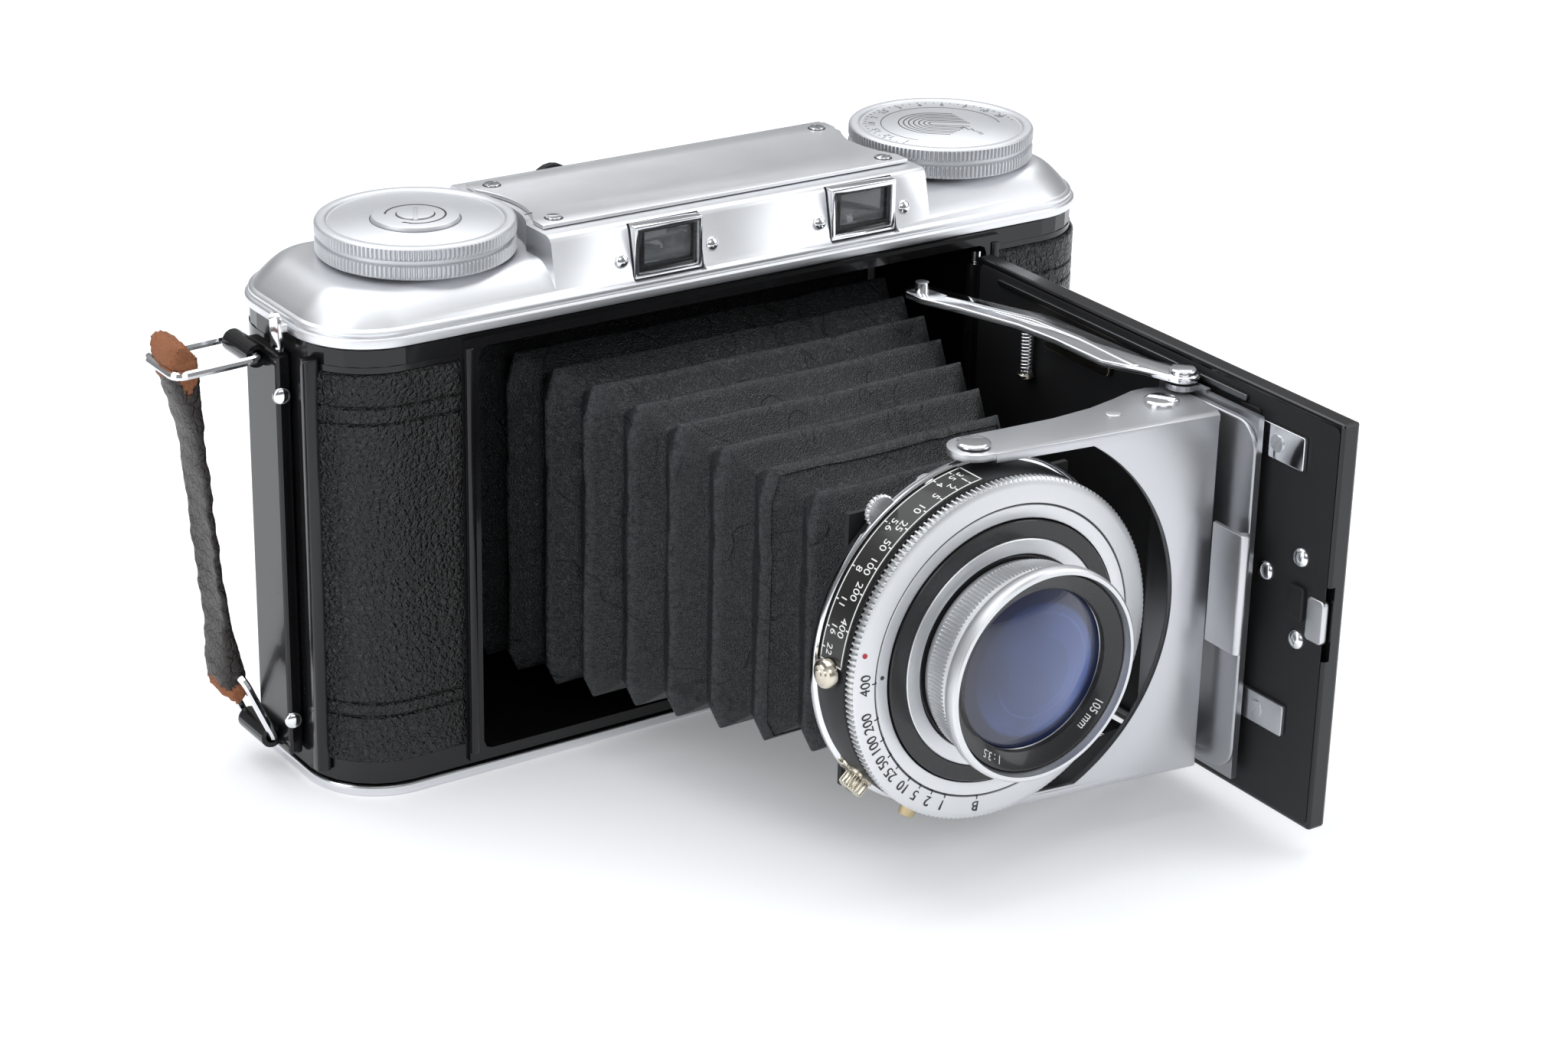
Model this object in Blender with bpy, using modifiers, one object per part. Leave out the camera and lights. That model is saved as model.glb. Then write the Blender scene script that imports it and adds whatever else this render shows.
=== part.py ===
"""Folding roll-film camera with bellows, drop bed on a side hinge and a between-lens shutter.

Frame: +Z up, the front of the camera faces -Y, +X is to the right in a front view.
The origin is the centre of the flat underside of the base plate.
Lengths in the constants are drawing millimetres, and UNIT turns them into metres at full size.
"""

import math

import bmesh
import bpy
from mathutils import Matrix, Vector

UNIT = 0.00108
GAP = 0.3

HALF_WIDTH = 77.5
FRONT_Y = -20.0
BACK_Y = 20.0
CORNER_RADIUS = 13.0
SPLIT_Y = 15.0
BASE_TOP = 1.9
SHELL_BOTTOM = 2.2
SHELL_TOP = 79.6
COVER_BOTTOM = 79.9
PLATEAU_Z = 87.7
HOUSING_TOP = 92.3

BAY_HALF = 51.5
BAY_LOW = 4.6
BAY_HIGH = 77.5
GATE_Y = 12.6
FILM_Y = 13.6
GATE_HALF = 43.5
CHAMBER_X = 64.45
CHAMBER_RADIUS = 11.7
SOCKET_X = 24.0

KNOB_LEFT = -51.5
KNOB_RIGHT = 56.0
KNOB_RADIUS = 16.7
KNOB_BOTTOM = 88.2
KNOB_TOP = 93.8

AXIS_Z = 40.5
BED_HINGE = (49.5, -20.5)
BED_INNER = 48.0
BED_OUTER = 51.5
BED_FRONT = -118.0
BED_LOW = 5.0
BED_HIGH = 76.4
BRACKET_PIVOT = (38.0, -86.0)
LENS_PIVOT = (0.0, -86.0)
STRUT_PIVOT = (44.6, -83.2)
RELEASE_PIVOT = (44.2, -98.0)
ARM_LOW = 70.8
ARM_HIGH = 72.0

BOARD_RADIUS = 28.7
RING_RADIUS = 28.9
FRONT_RING_RADIUS = 17.9

DOOR_HINGE = (76.7, 15.4)
LATCH_AXIS_X = -81.4
LOOP_UPPER_Z = 75.2
LOOP_LOWER_Z = 6.4

for old in list(bpy.data.objects):
    bpy.data.objects.remove(old, do_unlink=True)

camera_parts = bpy.data.collections.new("folding_camera")
cutter_parts = bpy.data.collections.new("cutters")
bpy.context.scene.collection.children.link(camera_parts)
bpy.context.scene.collection.children.link(cutter_parts)


def finish(name, colour, roughness, metallic):
    """Return a Principled material."""
    material = bpy.data.materials.new(name)
    material.use_nodes = True
    shader = material.node_tree.nodes["Principled BSDF"]
    shader.inputs["Base Color"].default_value = (*colour, 1.0)
    shader.inputs["Roughness"].default_value = roughness
    shader.inputs["Metallic"].default_value = metallic
    return material


SATIN_CHROME = finish("satin_chrome", (0.72, 0.73, 0.74), 0.32, 1.0)
BRIGHT_CHROME = finish("bright_chrome", (0.80, 0.81, 0.82), 0.12, 1.0)
SATIN_ALUMINIUM = finish("satin_aluminium", (0.66, 0.67, 0.68), 0.42, 1.0)
DARK_STEEL = finish("dark_steel", (0.20, 0.21, 0.22), 0.38, 1.0)
BLACK_ENAMEL = finish("black_enamel", (0.012, 0.012, 0.014), 0.18, 0.0)
BLACK_PAINT = finish("black_paint", (0.02, 0.02, 0.022), 0.55, 0.0)
LEATHER = finish("grained_leather", (0.018, 0.018, 0.020), 0.48, 0.0)
BELLOWS_LEATHER = finish("bellows_leather", (0.016, 0.018, 0.020), 0.45, 0.0)
STRAP_LEATHER = finish("strap_leather", (0.06, 0.035, 0.028), 0.6, 0.0)
GLASS = finish("coated_glass", (0.05, 0.09, 0.28), 0.03, 0.0)
FINDER_GLASS = finish("finder_glass", (0.25, 0.27, 0.28), 0.04, 0.0)
RED_GLASS = finish("red_glass", (0.45, 0.02, 0.02), 0.08, 0.0)
NICKEL = finish("nickel", (0.72, 0.66, 0.55), 0.22, 1.0)


def pivot(name, x, y, z, parent=None):
    """Place an empty at a joint, and return it."""
    empty = bpy.data.objects.new(name, None)
    empty.empty_display_size = 0.01
    camera_parts.objects.link(empty)
    empty["world_point"] = (x * UNIT, y * UNIT, z * UNIT)
    attach(empty, parent, Vector((x, y, z)) * UNIT)
    return empty


def attach(item, parent, point):
    """Parent an item and put it at a point of the camera's frame."""
    base = Vector((0.0, 0.0, 0.0))
    if parent is not None:
        item.parent = parent
        base = Vector(parent["world_point"])
    item.location = Vector(point) - base


def register(name, mesh, material, parent, point, rotation=(0.0, 0.0, 0.0)):
    """Make an object from a mesh, as a camera part or as a cutter when it has no material."""
    item = bpy.data.objects.new(name, mesh)
    if material is None:
        cutter_parts.objects.link(item)
        item.hide_render = True
        item.display_type = "WIRE"
    else:
        camera_parts.objects.link(item)
        mesh.materials.clear()
        mesh.materials.append(material)
    attach(item, parent, point)
    item.rotation_euler = rotation
    return item


def box(name, low, high, material=None, parent=None, bevel=0.0):
    """Make a box between two corners."""
    low = Vector(low) * UNIT
    high = Vector(high) * UNIT
    mesh = bpy.data.meshes.new(name)
    work = bmesh.new()
    bmesh.ops.create_cube(work, size=1.0)
    bmesh.ops.scale(work, vec=high - low, verts=work.verts)
    work.to_mesh(mesh)
    work.free()
    item = register(name, mesh, material, parent, (low + high) / 2.0)
    if bevel > 0.0:
        round_edges(item, bevel, 2)
    return item


def rod(name, centre, radius, length, axis="Z", material=None, parent=None, sides=24, tip=None):
    """Make a cylinder, or a cone when tip is given, centred on a point and lying along an axis."""
    mesh = bpy.data.meshes.new(name)
    work = bmesh.new()
    end = radius if tip is None else tip
    bmesh.ops.create_cone(
        work, cap_ends=True, cap_tris=False, segments=sides,
        radius1=radius * UNIT, radius2=end * UNIT, depth=length * UNIT,
    )
    work.to_mesh(mesh)
    work.free()
    mesh.shade_smooth()
    mesh.set_sharp_from_angle(angle=math.radians(40.0))
    turns = {"Z": (0.0, 0.0, 0.0), "Y": (math.pi / 2.0, 0.0, 0.0), "X": (0.0, math.pi / 2.0, 0.0)}
    return register(name, mesh, material, parent, Vector(centre) * UNIT, turns[axis])


def plate(name, outline, low, high, material=None, parent=None, plane="XY"):
    """Extrude a flat outline between two levels. In plane XZ the levels are along Y."""
    curve = bpy.data.curves.new(name, "CURVE")
    curve.dimensions = "2D"
    curve.fill_mode = "BOTH"
    curve.extrude = (high - low) / 2.0 * UNIT
    spline = curve.splines.new("POLY")
    spline.points.add(len(outline) - 1)
    for point, corner in zip(spline.points, outline):
        point.co = (corner[0] * UNIT, corner[1] * UNIT, 0.0, 1.0)
    spline.use_cyclic_u = True
    drawn = bpy.data.objects.new(name + "_outline", curve)
    bpy.context.scene.collection.objects.link(drawn)
    bpy.context.view_layer.update()
    depsgraph = bpy.context.evaluated_depsgraph_get()
    mesh = bpy.data.meshes.new_from_object(drawn.evaluated_get(depsgraph))
    bpy.data.objects.remove(drawn, do_unlink=True)
    bpy.data.curves.remove(curve)
    work = bmesh.new()
    work.from_mesh(mesh)
    bmesh.ops.remove_doubles(work, verts=work.verts, dist=1e-6)
    bmesh.ops.dissolve_limit(work, angle_limit=0.002, verts=work.verts, edges=work.edges)
    bmesh.ops.recalc_face_normals(work, faces=work.faces)
    work.to_mesh(mesh)
    work.free()
    middle = (low + high) / 2.0 * UNIT
    if plane == "XY":
        return register(name, mesh, material, parent, (0.0, 0.0, middle))
    return register(name, mesh, material, parent, (0.0, middle, 0.0), (math.pi / 2.0, 0.0, 0.0))


def turned(name, profile, centre, axis="Z", material=None, parent=None, steps=40):
    """Turn a profile of (radius, height) points, listed from its top down its outer side."""
    mesh = bpy.data.meshes.new(name)
    work = bmesh.new()
    corners = [work.verts.new((radius * UNIT, 0.0, height * UNIT)) for radius, height in profile]
    for first, second in zip(corners, corners[1:]):
        work.edges.new((first, second))
    if profile[0][0] > 0.0:
        work.edges.new((corners[-1], corners[0]))
    work.to_mesh(mesh)
    work.free()
    turns = {"Z": (0.0, 0.0, 0.0), "-Y": (math.pi / 2.0, 0.0, 0.0), "Y": (-math.pi / 2.0, 0.0, 0.0)}
    item = register(name, mesh, material, parent, Vector(centre) * UNIT, turns[axis])
    screw = item.modifiers.new("turn", "SCREW")
    screw.axis = "Z"
    screw.angle = math.tau
    screw.steps = steps
    screw.render_steps = steps
    screw.use_merge_vertices = True
    screw.merge_threshold = 0.000001
    screw.use_smooth_shade = True
    return item


def loft(name, sections, material=None, parent=None):
    """Skin a stack of outlines that have the same number of points, and close both ends."""
    mesh = bpy.data.meshes.new(name)
    work = bmesh.new()
    rings = [[work.verts.new(Vector(point) * UNIT) for point in ring] for ring in sections]
    count = len(rings[0])
    for lower, upper in zip(rings, rings[1:]):
        for i in range(count):
            j = (i + 1) % count
            work.faces.new((lower[i], lower[j], upper[j], upper[i]))
    work.faces.new(list(reversed(rings[0])))
    work.faces.new(rings[-1])
    bmesh.ops.recalc_face_normals(work, faces=work.faces)
    work.to_mesh(mesh)
    work.free()
    return register(name, mesh, material, parent, (0.0, 0.0, 0.0))


def wire(name, points, radius, material, parent, closed=True):
    """Make a bent wire through a list of points."""
    curve = bpy.data.curves.new(name, "CURVE")
    curve.dimensions = "3D"
    curve.bevel_depth = radius * UNIT
    curve.bevel_resolution = 2
    curve.use_fill_caps = True
    spline = curve.splines.new("POLY")
    spline.points.add(len(points) - 1)
    for point, place in zip(spline.points, points):
        point.co = (place[0] * UNIT, place[1] * UNIT, place[2] * UNIT, 1.0)
    spline.use_cyclic_u = closed
    item = bpy.data.objects.new(name, curve)
    curve.materials.append(material)
    camera_parts.objects.link(item)
    attach(item, parent, (0.0, 0.0, 0.0))
    return item


def combine(target, other, operation):
    """Cut another object out of the target, or join it on."""
    step = target.modifiers.new(operation.lower(), "BOOLEAN")
    step.operation = operation
    step.solver = "EXACT"
    step.object = other


def cut(target, *others):
    """Cut each of the other objects out of the target."""
    for other in others:
        combine(target, other, "DIFFERENCE")


def join(target, *others):
    """Join each of the other objects onto the target."""
    for other in others:
        combine(target, other, "UNION")


def round_edges(item, width, segments):
    """Round the sharp edges of an item."""
    bevel = item.modifiers.new("rounded_edges", "BEVEL")
    bevel.width = width * UNIT
    bevel.segments = segments
    bevel.limit_method = "ANGLE"
    bevel.angle_limit = math.radians(35.0)
    return bevel


def arc(centre, radius, start, end, steps):
    """Points on an arc, with the angles in degrees."""
    points = []
    for i in range(steps + 1):
        angle = math.radians(start + (end - start) * i / steps)
        points.append((centre[0] + radius * math.cos(angle), centre[1] + radius * math.sin(angle)))
    return points


def rounded_rectangle(left, right, front, back, radius, steps=8):
    """Outline of a rectangle with round corners, anticlockwise from the front right."""
    points = arc((right - radius, front + radius), radius, -90.0, 0.0, steps)
    points += arc((right - radius, back - radius), radius, 0.0, 90.0, steps)
    points += arc((left + radius, back - radius), radius, 90.0, 180.0, steps)
    points += arc((left + radius, front + radius), radius, 180.0, 270.0, steps)
    return points


def body_outline(grow, steps=6):
    """Plan outline of the camera body, moved outwards by a distance."""
    edge = HALF_WIDTH + grow
    return rounded_rectangle(-edge, edge, FRONT_Y - grow, BACK_Y + grow, CORNER_RADIUS + grow, steps)


def mirrored_z(low, high):
    """The same height range on the other side of the lens axis."""
    return 2.0 * AXIS_Z - high, 2.0 * AXIS_Z - low


# Body shell: an oblong with round ends, open at the back, with a bay for the bellows,
# a film gate and a spool chamber on each side.
body = pivot("body", 0.0, 0.0, 0.0)
body_shell = plate("body_shell", body_outline(0.0), SHELL_BOTTOM, SHELL_TOP, BLACK_ENAMEL, body)
bay_frame = box("bay_frame", (-54.2, -20.8, 3.0), (54.2, -18.0, 79.0))
join(body_shell, bay_frame)
chamber = []
for side, name in ((-1.0, "left"), (1.0, "right")):
    x = side * CHAMBER_X
    outline = rounded_rectangle(x - 11.75, x + 11.75, -18.2, 40.0, CHAMBER_RADIUS, 8)
    chamber.append(plate("chamber_" + name, outline, 6.5, 74.6))
cut(
    body_shell,
    box("back_split", (-90.0, SPLIT_Y, -5.0), (90.0, 40.0, 90.0)),
    box("bay", (-BAY_HALF, -30.0, BAY_LOW), (BAY_HALF, GATE_Y, BAY_HIGH), bevel=1.6),
    box("gate", (-GATE_HALF, 8.0, AXIS_Z - 28.0), (GATE_HALF, 30.0, AXIS_Z + 28.0)),
    box("film_path", (-57.0, FILM_Y, 6.5), (57.0, 30.0, 74.6)),
    chamber[0],
    chamber[1],
    rod("socket_recess", (SOCKET_X, 0.0, 2.0), 5.6, 3.2, sides=32),
)

# Base plate with a tripod socket.
base_plate = plate("base_plate", body_outline(0.6), 0.0, BASE_TOP, SATIN_CHROME, body)
base_ear = box("base_ear", (-80.6, -9.5, 0.2), (-76.0, -6.5, 1.8))
join(base_plate, base_ear)
cut(base_plate, rod("socket_hole", (SOCKET_X, 0.0, 1.0), 5.3, 4.0))
tripod_socket = turned(
    "tripod_socket",
    [(3.1, 3.2), (5.0, 3.2), (5.0, 0.3), (3.4, 0.3), (3.1, 0.6)],
    (SOCKET_X, 0.0, 0.0), "Z", NICKEL, body, 24,
)

# Top cover: a stepped rim, a rounded shoulder and a raised housing between the two knobs.
levels = [(0.6, COVER_BOTTOM), (0.6, 81.6), (-0.2, 81.8), (-0.2, 82.7), (-1.2, 83.4)]
levels += [(-2.6, 85.0), (-4.2, 86.5), (-6.4, PLATEAU_Z)]
cover_rings = [[(px, py, z) for px, py in body_outline(grow)] for grow, z in levels]
top_cover = loft("top_cover", cover_rings, SATIN_CHROME, body)


def housing_outline(front, inset):
    """Plan of the raised housing, whose ends follow the knobs."""
    reach = 18.2 + inset
    angle = 30.0
    left = KNOB_LEFT + reach * math.cos(math.radians(angle))
    right = KNOB_RIGHT - reach * math.cos(math.radians(angle))
    points = [(left, -front), (right, -front)]
    points += arc((KNOB_RIGHT, 0.0), reach, 180.0 + angle, 180.0 - angle, 10)
    points += [(right, front), (left, front)]
    points += arc((KNOB_LEFT, 0.0), reach, angle, -angle, 10)
    return points


housing_rings = []
for front, z in ((19.0, 82.2), (18.6, 83.4), (15.9, 91.9), (15.3, HOUSING_TOP)):
    housing_rings.append([(px, py, z) for px, py in housing_outline(front, 0.0)])
housing = loft("housing", housing_rings)
join(top_cover, housing)
join(top_cover, box("cover_ear", (-79.4, -5.4, 80.2), (-75.0, -2.8, 81.4)))
WINDOWS = ((-20.6, -7.2), (19.2, 32.7))
cut(
    top_cover,
    plate("cover_hollow", body_outline(-1.9), 79.0, 82.6),
    plate("shoulder_hollow", body_outline(-6.0), 82.0, 85.9),
    box("housing_hollow", (-31.6, -13.4, 80.0), (36.0, 13.4, 90.9)),
    rod("knob_hole_left", (KNOB_LEFT, 0.0, 86.0), 3.4, 8.0),
    rod("knob_hole_right", (KNOB_RIGHT, 0.0, 86.0), 3.4, 8.0),
    rod("eyepiece_hole", (-13.9, 16.0, 87.4), 3.5, 12.0, "Y"),
)
for index, (left, right) in enumerate(WINDOWS):
    tag = ("finder", "ranging")[index]
    low = (left - GAP, -24.0, 82.9 - GAP)
    high = (right + GAP, -14.9, 92.0 + GAP)
    cut(top_cover, box(tag + "_pocket", low, high))
    cut(top_cover, box(tag + "_window", (left + 1.6, -16.0, 84.4), (right - 1.6, -12.0, 90.4)))
    frame = box(tag + "_frame", (left, -18.6, 82.9), (right, -15.2, 92.0), BRIGHT_CHROME, body)
    cut(frame, box(tag + "_light", (left + 1.1, -22.0, 84.0), (right - 1.1, -10.0, 90.9)))
    box(tag + "_glass", (left + 1.35, -17.2, 84.25), (right - 1.35, -16.2, 90.65), FINDER_GLASS, body)
top_plate = plate("top_plate", housing_outline(13.0, 1.1), 92.55, 93.1, SATIN_CHROME, body)
turned(
    "eyepiece",
    [(2.1, 3.9), (3.9, 3.9), (4.3, 3.5), (4.3, 2.1), (3.1, 2.1), (3.1, -1.6), (2.1, -1.6)],
    (-13.9, 17.0, 87.4), "Y", BLACK_PAINT, body, 20,
)


def wrap(start, end, inner, outer, steps=10):
    """Plan of a skin that follows the body from a flat side round one front corner."""
    sign = 1.0 if end > 0.0 else -1.0
    centre = (sign * (HALF_WIDTH - CORNER_RADIUS), FRONT_Y + CORNER_RADIUS)
    turn = 80.0
    path = []
    for offset in (inner, outer):
        side = [(sign * start, FRONT_Y - offset)]
        for i in range(steps + 1):
            angle = math.radians(-90.0 + sign * turn * i / steps)
            reach = CORNER_RADIUS + offset
            side.append((centre[0] + reach * math.cos(angle), centre[1] + reach * math.sin(angle)))
        path.append(side)
    return path[0] + list(reversed(path[1]))


plate("leather_left", wrap(54.5, -1.0, 0.15, 0.75), 6.3, 75.6, LEATHER, body)
plate("leather_right", wrap(54.5, 1.0, 0.15, 0.75), 6.3, 75.6, LEATHER, body)

# Back door on its hinge, with the pressure plate, the red window and its sliding cover.
rod("back_hinge_pin", (DOOR_HINGE[0], DOOR_HINGE[1], AXIS_Z), 1.45, 60.0, "Z", BRIGHT_CHROME, body, 20)
door = pivot("back_door_joint", DOOR_HINGE[0], DOOR_HINGE[1], AXIS_Z, body)
back_door = plate("back_door", body_outline(0.0), 2.4, 79.4, BLACK_ENAMEL, door)
cut(
    back_door,
    box("door_split", (-90.0, -40.0, -5.0), (90.0, SPLIT_Y + GAP, 90.0)),
    box("door_hollow", (-69.0, 10.0, 4.6), (69.0, 18.0, 77.2)),
    rod("window_hole", (18.0, 18.0, 58.0), 4.7, 12.0, "Y"),
)
rod("red_window", (18.0, 19.0, 58.0), 4.4, 1.0, "Y", RED_GLASS, door, 28)
leather_back = box("leather_back", (-62.0, 20.15, 6.3), (62.0, 20.75, 75.6), LEATHER, door)
cut(leather_back, box("cover_track", (9.6, 19.0, 52.2), (41.0, 22.0, 63.8)))
cover = pivot("window_cover_slide", 18.0, 20.6, 58.0, door)
window_cover = box("window_cover", (11.0, 20.2, 53.0), (25.0, 20.9, 63.0), SATIN_CHROME, cover)
join(window_cover, box("cover_grip", (12.0, 20.8, 54.5), (13.6, 21.8, 61.5)))
pressure_plate = box("pressure_plate", (-46.5, 15.3, 10.5), (46.5, 16.1, 70.5), DARK_STEEL, door)
box("pressure_spring", (-22.0, 16.4, 36.5), (22.0, 17.7, 44.5), BRIGHT_CHROME, door)

# Winding knob with its cap, and the two film spools.
winder = pivot("advance_joint", KNOB_LEFT, 0.0, PLATEAU_Z, body)
KNOB_PROFILE = [
    (0.0, 93.45), (14.3, 93.45), (14.6, KNOB_TOP), (16.35, KNOB_TOP), (KNOB_RADIUS, 93.45),
    (KNOB_RADIUS, 91.5), (15.9, 91.35), (15.9, 90.65), (KNOB_RADIUS, 90.5), (KNOB_RADIUS, 88.5),
    (16.4, KNOB_BOTTOM), (3.0, KNOB_BOTTOM), (3.0, 83.4), (0.0, 83.4),
]
turned("advance_knob", KNOB_PROFILE, (KNOB_LEFT, 0.0, 0.0), "Z", SATIN_ALUMINIUM, winder, 36)
advance_cap = rod("advance_cap", (KNOB_LEFT, 0.0, 93.95), 7.3, 0.5, "Z", SATIN_ALUMINIUM, winder, 36)
cut(advance_cap, box("cap_slot", (KNOB_LEFT - 2.6, -0.35, 93.9), (KNOB_LEFT + 2.6, 0.35, 95.0)))
focus = pivot("focus_joint", KNOB_RIGHT, 0.0, PLATEAU_Z, body)
turned("focus_knob", KNOB_PROFILE, (KNOB_RIGHT, 0.0, 0.0), "Z", SATIN_ALUMINIUM, focus, 36)
SPOOL_PROFILE = [
    (0.0, 72.4), (11.3, 72.4), (11.3, 71.4), (4.3, 71.4), (4.3, 9.6), (11.3, 9.6), (11.3, 8.6), (0.0, 8.6),
]
for side, name in ((-1.0, "take_up_spool"), (1.0, "supply_spool")):
    centre = (side * CHAMBER_X, -6.4, 0.0)
    spool = pivot(name + "_joint", centre[0], centre[1], AXIS_Z, body)
    turned(name, SPOOL_PROFILE, centre, "Z", DARK_STEEL, spool, 28)

# Latch bar on the left end, with two wire loops and the hand strap.
latch = pivot("latch_slide", -79.0, 0.5, AXIS_Z, body)
latch_bar = box("latch_bar", (-80.4, -5.6, 4.4), (-77.9, 5.8, 76.6), BLACK_ENAMEL, latch, bevel=0.6)
for level in (LOOP_UPPER_Z, LOOP_LOWER_Z):
    tag = "upper" if level > AXIS_Z else "lower"
    join(latch_bar, rod("clip_" + tag, (LATCH_AXIS_X, 3.6, level), 2.0, 9.0, "Y", sides=20))
    cut(latch_bar, rod("clip_bore_" + tag, (LATCH_AXIS_X, 3.6, level), 1.15, 20.0, "Y", sides=20))


def loop_points(level, length, tilt, front, back, radius=1.8):
    """Corners of a rectangular wire loop that leaves its clip at an angle above the horizontal."""
    flat = rounded_rectangle(-length, 0.0, front, back, radius, 4)
    lean = math.radians(tilt)
    points = []
    for along, across in flat:
        x = LATCH_AXIS_X + along * math.cos(lean)
        z = level - along * math.sin(lean)
        points.append((x, across, z))
    return points


LOOP_UPPER_TILT = -2.0
LOOP_LOWER_TILT = 66.0
LOOP_LENGTH = 15.0
loop_upper = pivot("loop_upper_joint", LATCH_AXIS_X, 3.6, LOOP_UPPER_Z, latch)
loop_lower = pivot("loop_lower_joint", LATCH_AXIS_X, 3.6, LOOP_LOWER_Z, latch)
upper_wire = loop_points(LOOP_UPPER_Z, LOOP_LENGTH, LOOP_UPPER_TILT, -2.2, 9.4)
lower_wire = loop_points(LOOP_LOWER_Z, 13.5, LOOP_LOWER_TILT, -2.2, 9.4)
for name, points, parent in (
    ("wire_loop_upper", upper_wire, loop_upper),
    ("wire_loop_lower", lower_wire, loop_lower),
):
    loop = wire(name, points, 0.75, BRIGHT_CHROME, parent)
    loop.location = -Vector(parent["world_point"])
upper_end = (LATCH_AXIS_X - LOOP_LENGTH * math.cos(math.radians(2.0)), LOOP_UPPER_Z - 0.52)
lower_end = (
    LATCH_AXIS_X - 13.5 * math.cos(math.radians(LOOP_LOWER_TILT)),
    LOOP_LOWER_Z + 13.5 * math.sin(math.radians(LOOP_LOWER_TILT)),
)


def strap_outline():
    """Side view of the strap, thick at both ends where it is folded over the wire."""
    thickness = [(0.0, 2.6), (0.06, 3.0), (0.14, 2.2), (0.25, 1.25), (0.5, 1.1), (0.75, 1.15)]
    thickness += [(0.87, 1.9), (0.95, 2.4), (1.0, 2.0)]
    start = (upper_end[0] + 0.2, upper_end[1] + 2.6)
    end = (lower_end[0] - 0.2, lower_end[1] - 3.4)
    left = []
    right = []
    for share, half in thickness:
        bow = 2.2 * math.sin(math.pi * share)
        x = start[0] + (end[0] - start[0]) * share + bow * 0.6
        z = start[1] + (end[1] - start[1]) * share
        left.append((x - half, z))
        right.append((x + half, z))
    return right + list(reversed(left))


strap = plate("strap", strap_outline(), -7.4, 1.2, STRAP_LEATHER, latch, "XZ")
strap.location.y += 6.7 * UNIT
for tag, end in (("upper", upper_end), ("lower", lower_end)):
    cut(strap, rod("strap_eye_" + tag, (end[0], 3.6, end[1]), 1.1, 30.0, "Y", sides=16))

# Bed: hinged on the right side of the bay, with the rail tabs and the catch.
rod("bed_hinge_pin", (BED_HINGE[0], BED_HINGE[1], 40.9), 0.85, 71.4, "Z", BRIGHT_CHROME, body, 16)
bed = pivot("bed_joint", BED_HINGE[0], BED_HINGE[1], AXIS_Z, body)
bed_plate = box(
    "bed_plate", (BED_INNER, BED_FRONT, BED_LOW), (BED_OUTER, -22.6, BED_HIGH), BLACK_ENAMEL, bed, bevel=0.5,
)
join(
    bed_plate,
    box("bed_neck", (48.7, -23.4, 8.0), (50.3, -21.0, 73.0)),
    rod("bed_barrel", (BED_HINGE[0], BED_HINGE[1], AXIS_Z), 1.7, 68.0, "Z", sides=20),
)
cut(
    bed_plate,
    rod("bed_bore", (BED_HINGE[0], BED_HINGE[1], AXIS_Z), 1.15, 80.0, "Z", sides=20),
    box("catch_recess", (47.0, -120.0, 35.5), (49.2, -112.6, 48.5)),
)
box("bed_leather", (51.7, -114.5, 8.6), (52.3, -26.5, 72.8), LEATHER, bed)
for low, high, tag in ((66.2, 71.9, "upper"), (19.4, 24.8, "lower")):
    tab = box("rail_tab_" + tag, (46.95, -110.6, low), (47.75, -98.5, high), BRIGHT_CHROME, bed)
    cut(tab, rod("tab_screw_" + tag, (46.9, -104.4, (low + high) / 2.0), 1.5, 0.7, "X", sides=20))
catch = pivot("catch_slide", 48.4, -115.5, 42.0, bed)
box("bed_catch", (47.6, -117.4, 38.2), (48.9, -113.4, 45.8), BRIGHT_CHROME, catch, bevel=0.3)

# Carriage on the bed: a side plate with an arm under each bracket arm and an ear for each strut.
carriage = pivot("carriage_slide", 45.7, -90.0, AXIS_Z, bed)
carriage_bracket = box("carriage_bracket", (45.2, -101.6, 8.2), (46.3, -76.8, 72.8), DARK_STEEL, carriage)


def lug(centre, radius, to_x, half):
    """Plan of a lug with a round end at a pivot and a straight run to the side plate."""
    points = arc(centre, radius, 90.0, 270.0, 10)
    return [(to_x, centre[1] + half)] + points + [(to_x, centre[1] - half)]


EAR = [(46.2, -78.2)] + arc((STRUT_PIVOT[0], STRUT_PIVOT[1]), 2.9, 120.0, 300.0, 12) + [(46.2, -88.4)]
for tag in ("upper", "lower"):
    arm_range = (69.4, 70.4) if tag == "upper" else mirrored_z(69.4, 70.4)
    ear_range = (72.35, 73.3) if tag == "upper" else mirrored_z(72.35, 73.3)
    hole_z = sum(arm_range) / 2.0
    ear_z = sum(ear_range) / 2.0
    under = plate("carriage_arm_" + tag, lug(BRACKET_PIVOT, 3.6, 45.9, 3.6), arm_range[0], arm_range[1])
    ear = plate("carriage_ear_" + tag, EAR, ear_range[0], ear_range[1])
    post_low = (45.2, -88.4, min(ear_range[0], 72.0) if tag == "upper" else ear_range[0])
    post_high = (46.3, -78.2, ear_range[1] if tag == "upper" else 9.0)
    join(carriage_bracket, under, box("ear_root_" + tag, post_low, post_high), ear)
    cut(
        carriage_bracket,
        rod("arm_hole_" + tag, (BRACKET_PIVOT[0], BRACKET_PIVOT[1], hole_z), 1.3, 3.0, sides=20),
        rod("ear_hole_" + tag, (STRUT_PIVOT[0], STRUT_PIVOT[1], ear_z), 1.3, 3.0, sides=20),
    )
release = pivot("release_joint", RELEASE_PIVOT[0], RELEASE_PIVOT[1], AXIS_Z, carriage)
release_plate = box("release_plate", (40.6, -104.6, 33.4), (41.5, -97.3, 54.4), SATIN_CHROME, release)
join(
    release_plate,
    rod("release_roll", (41.0, -104.5, 43.9), 1.1, 17.4, "Z", sides=16),
    box("release_arm", (41.2, -98.6, 38.0), (44.8, -97.4, 50.0)),
)

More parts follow.
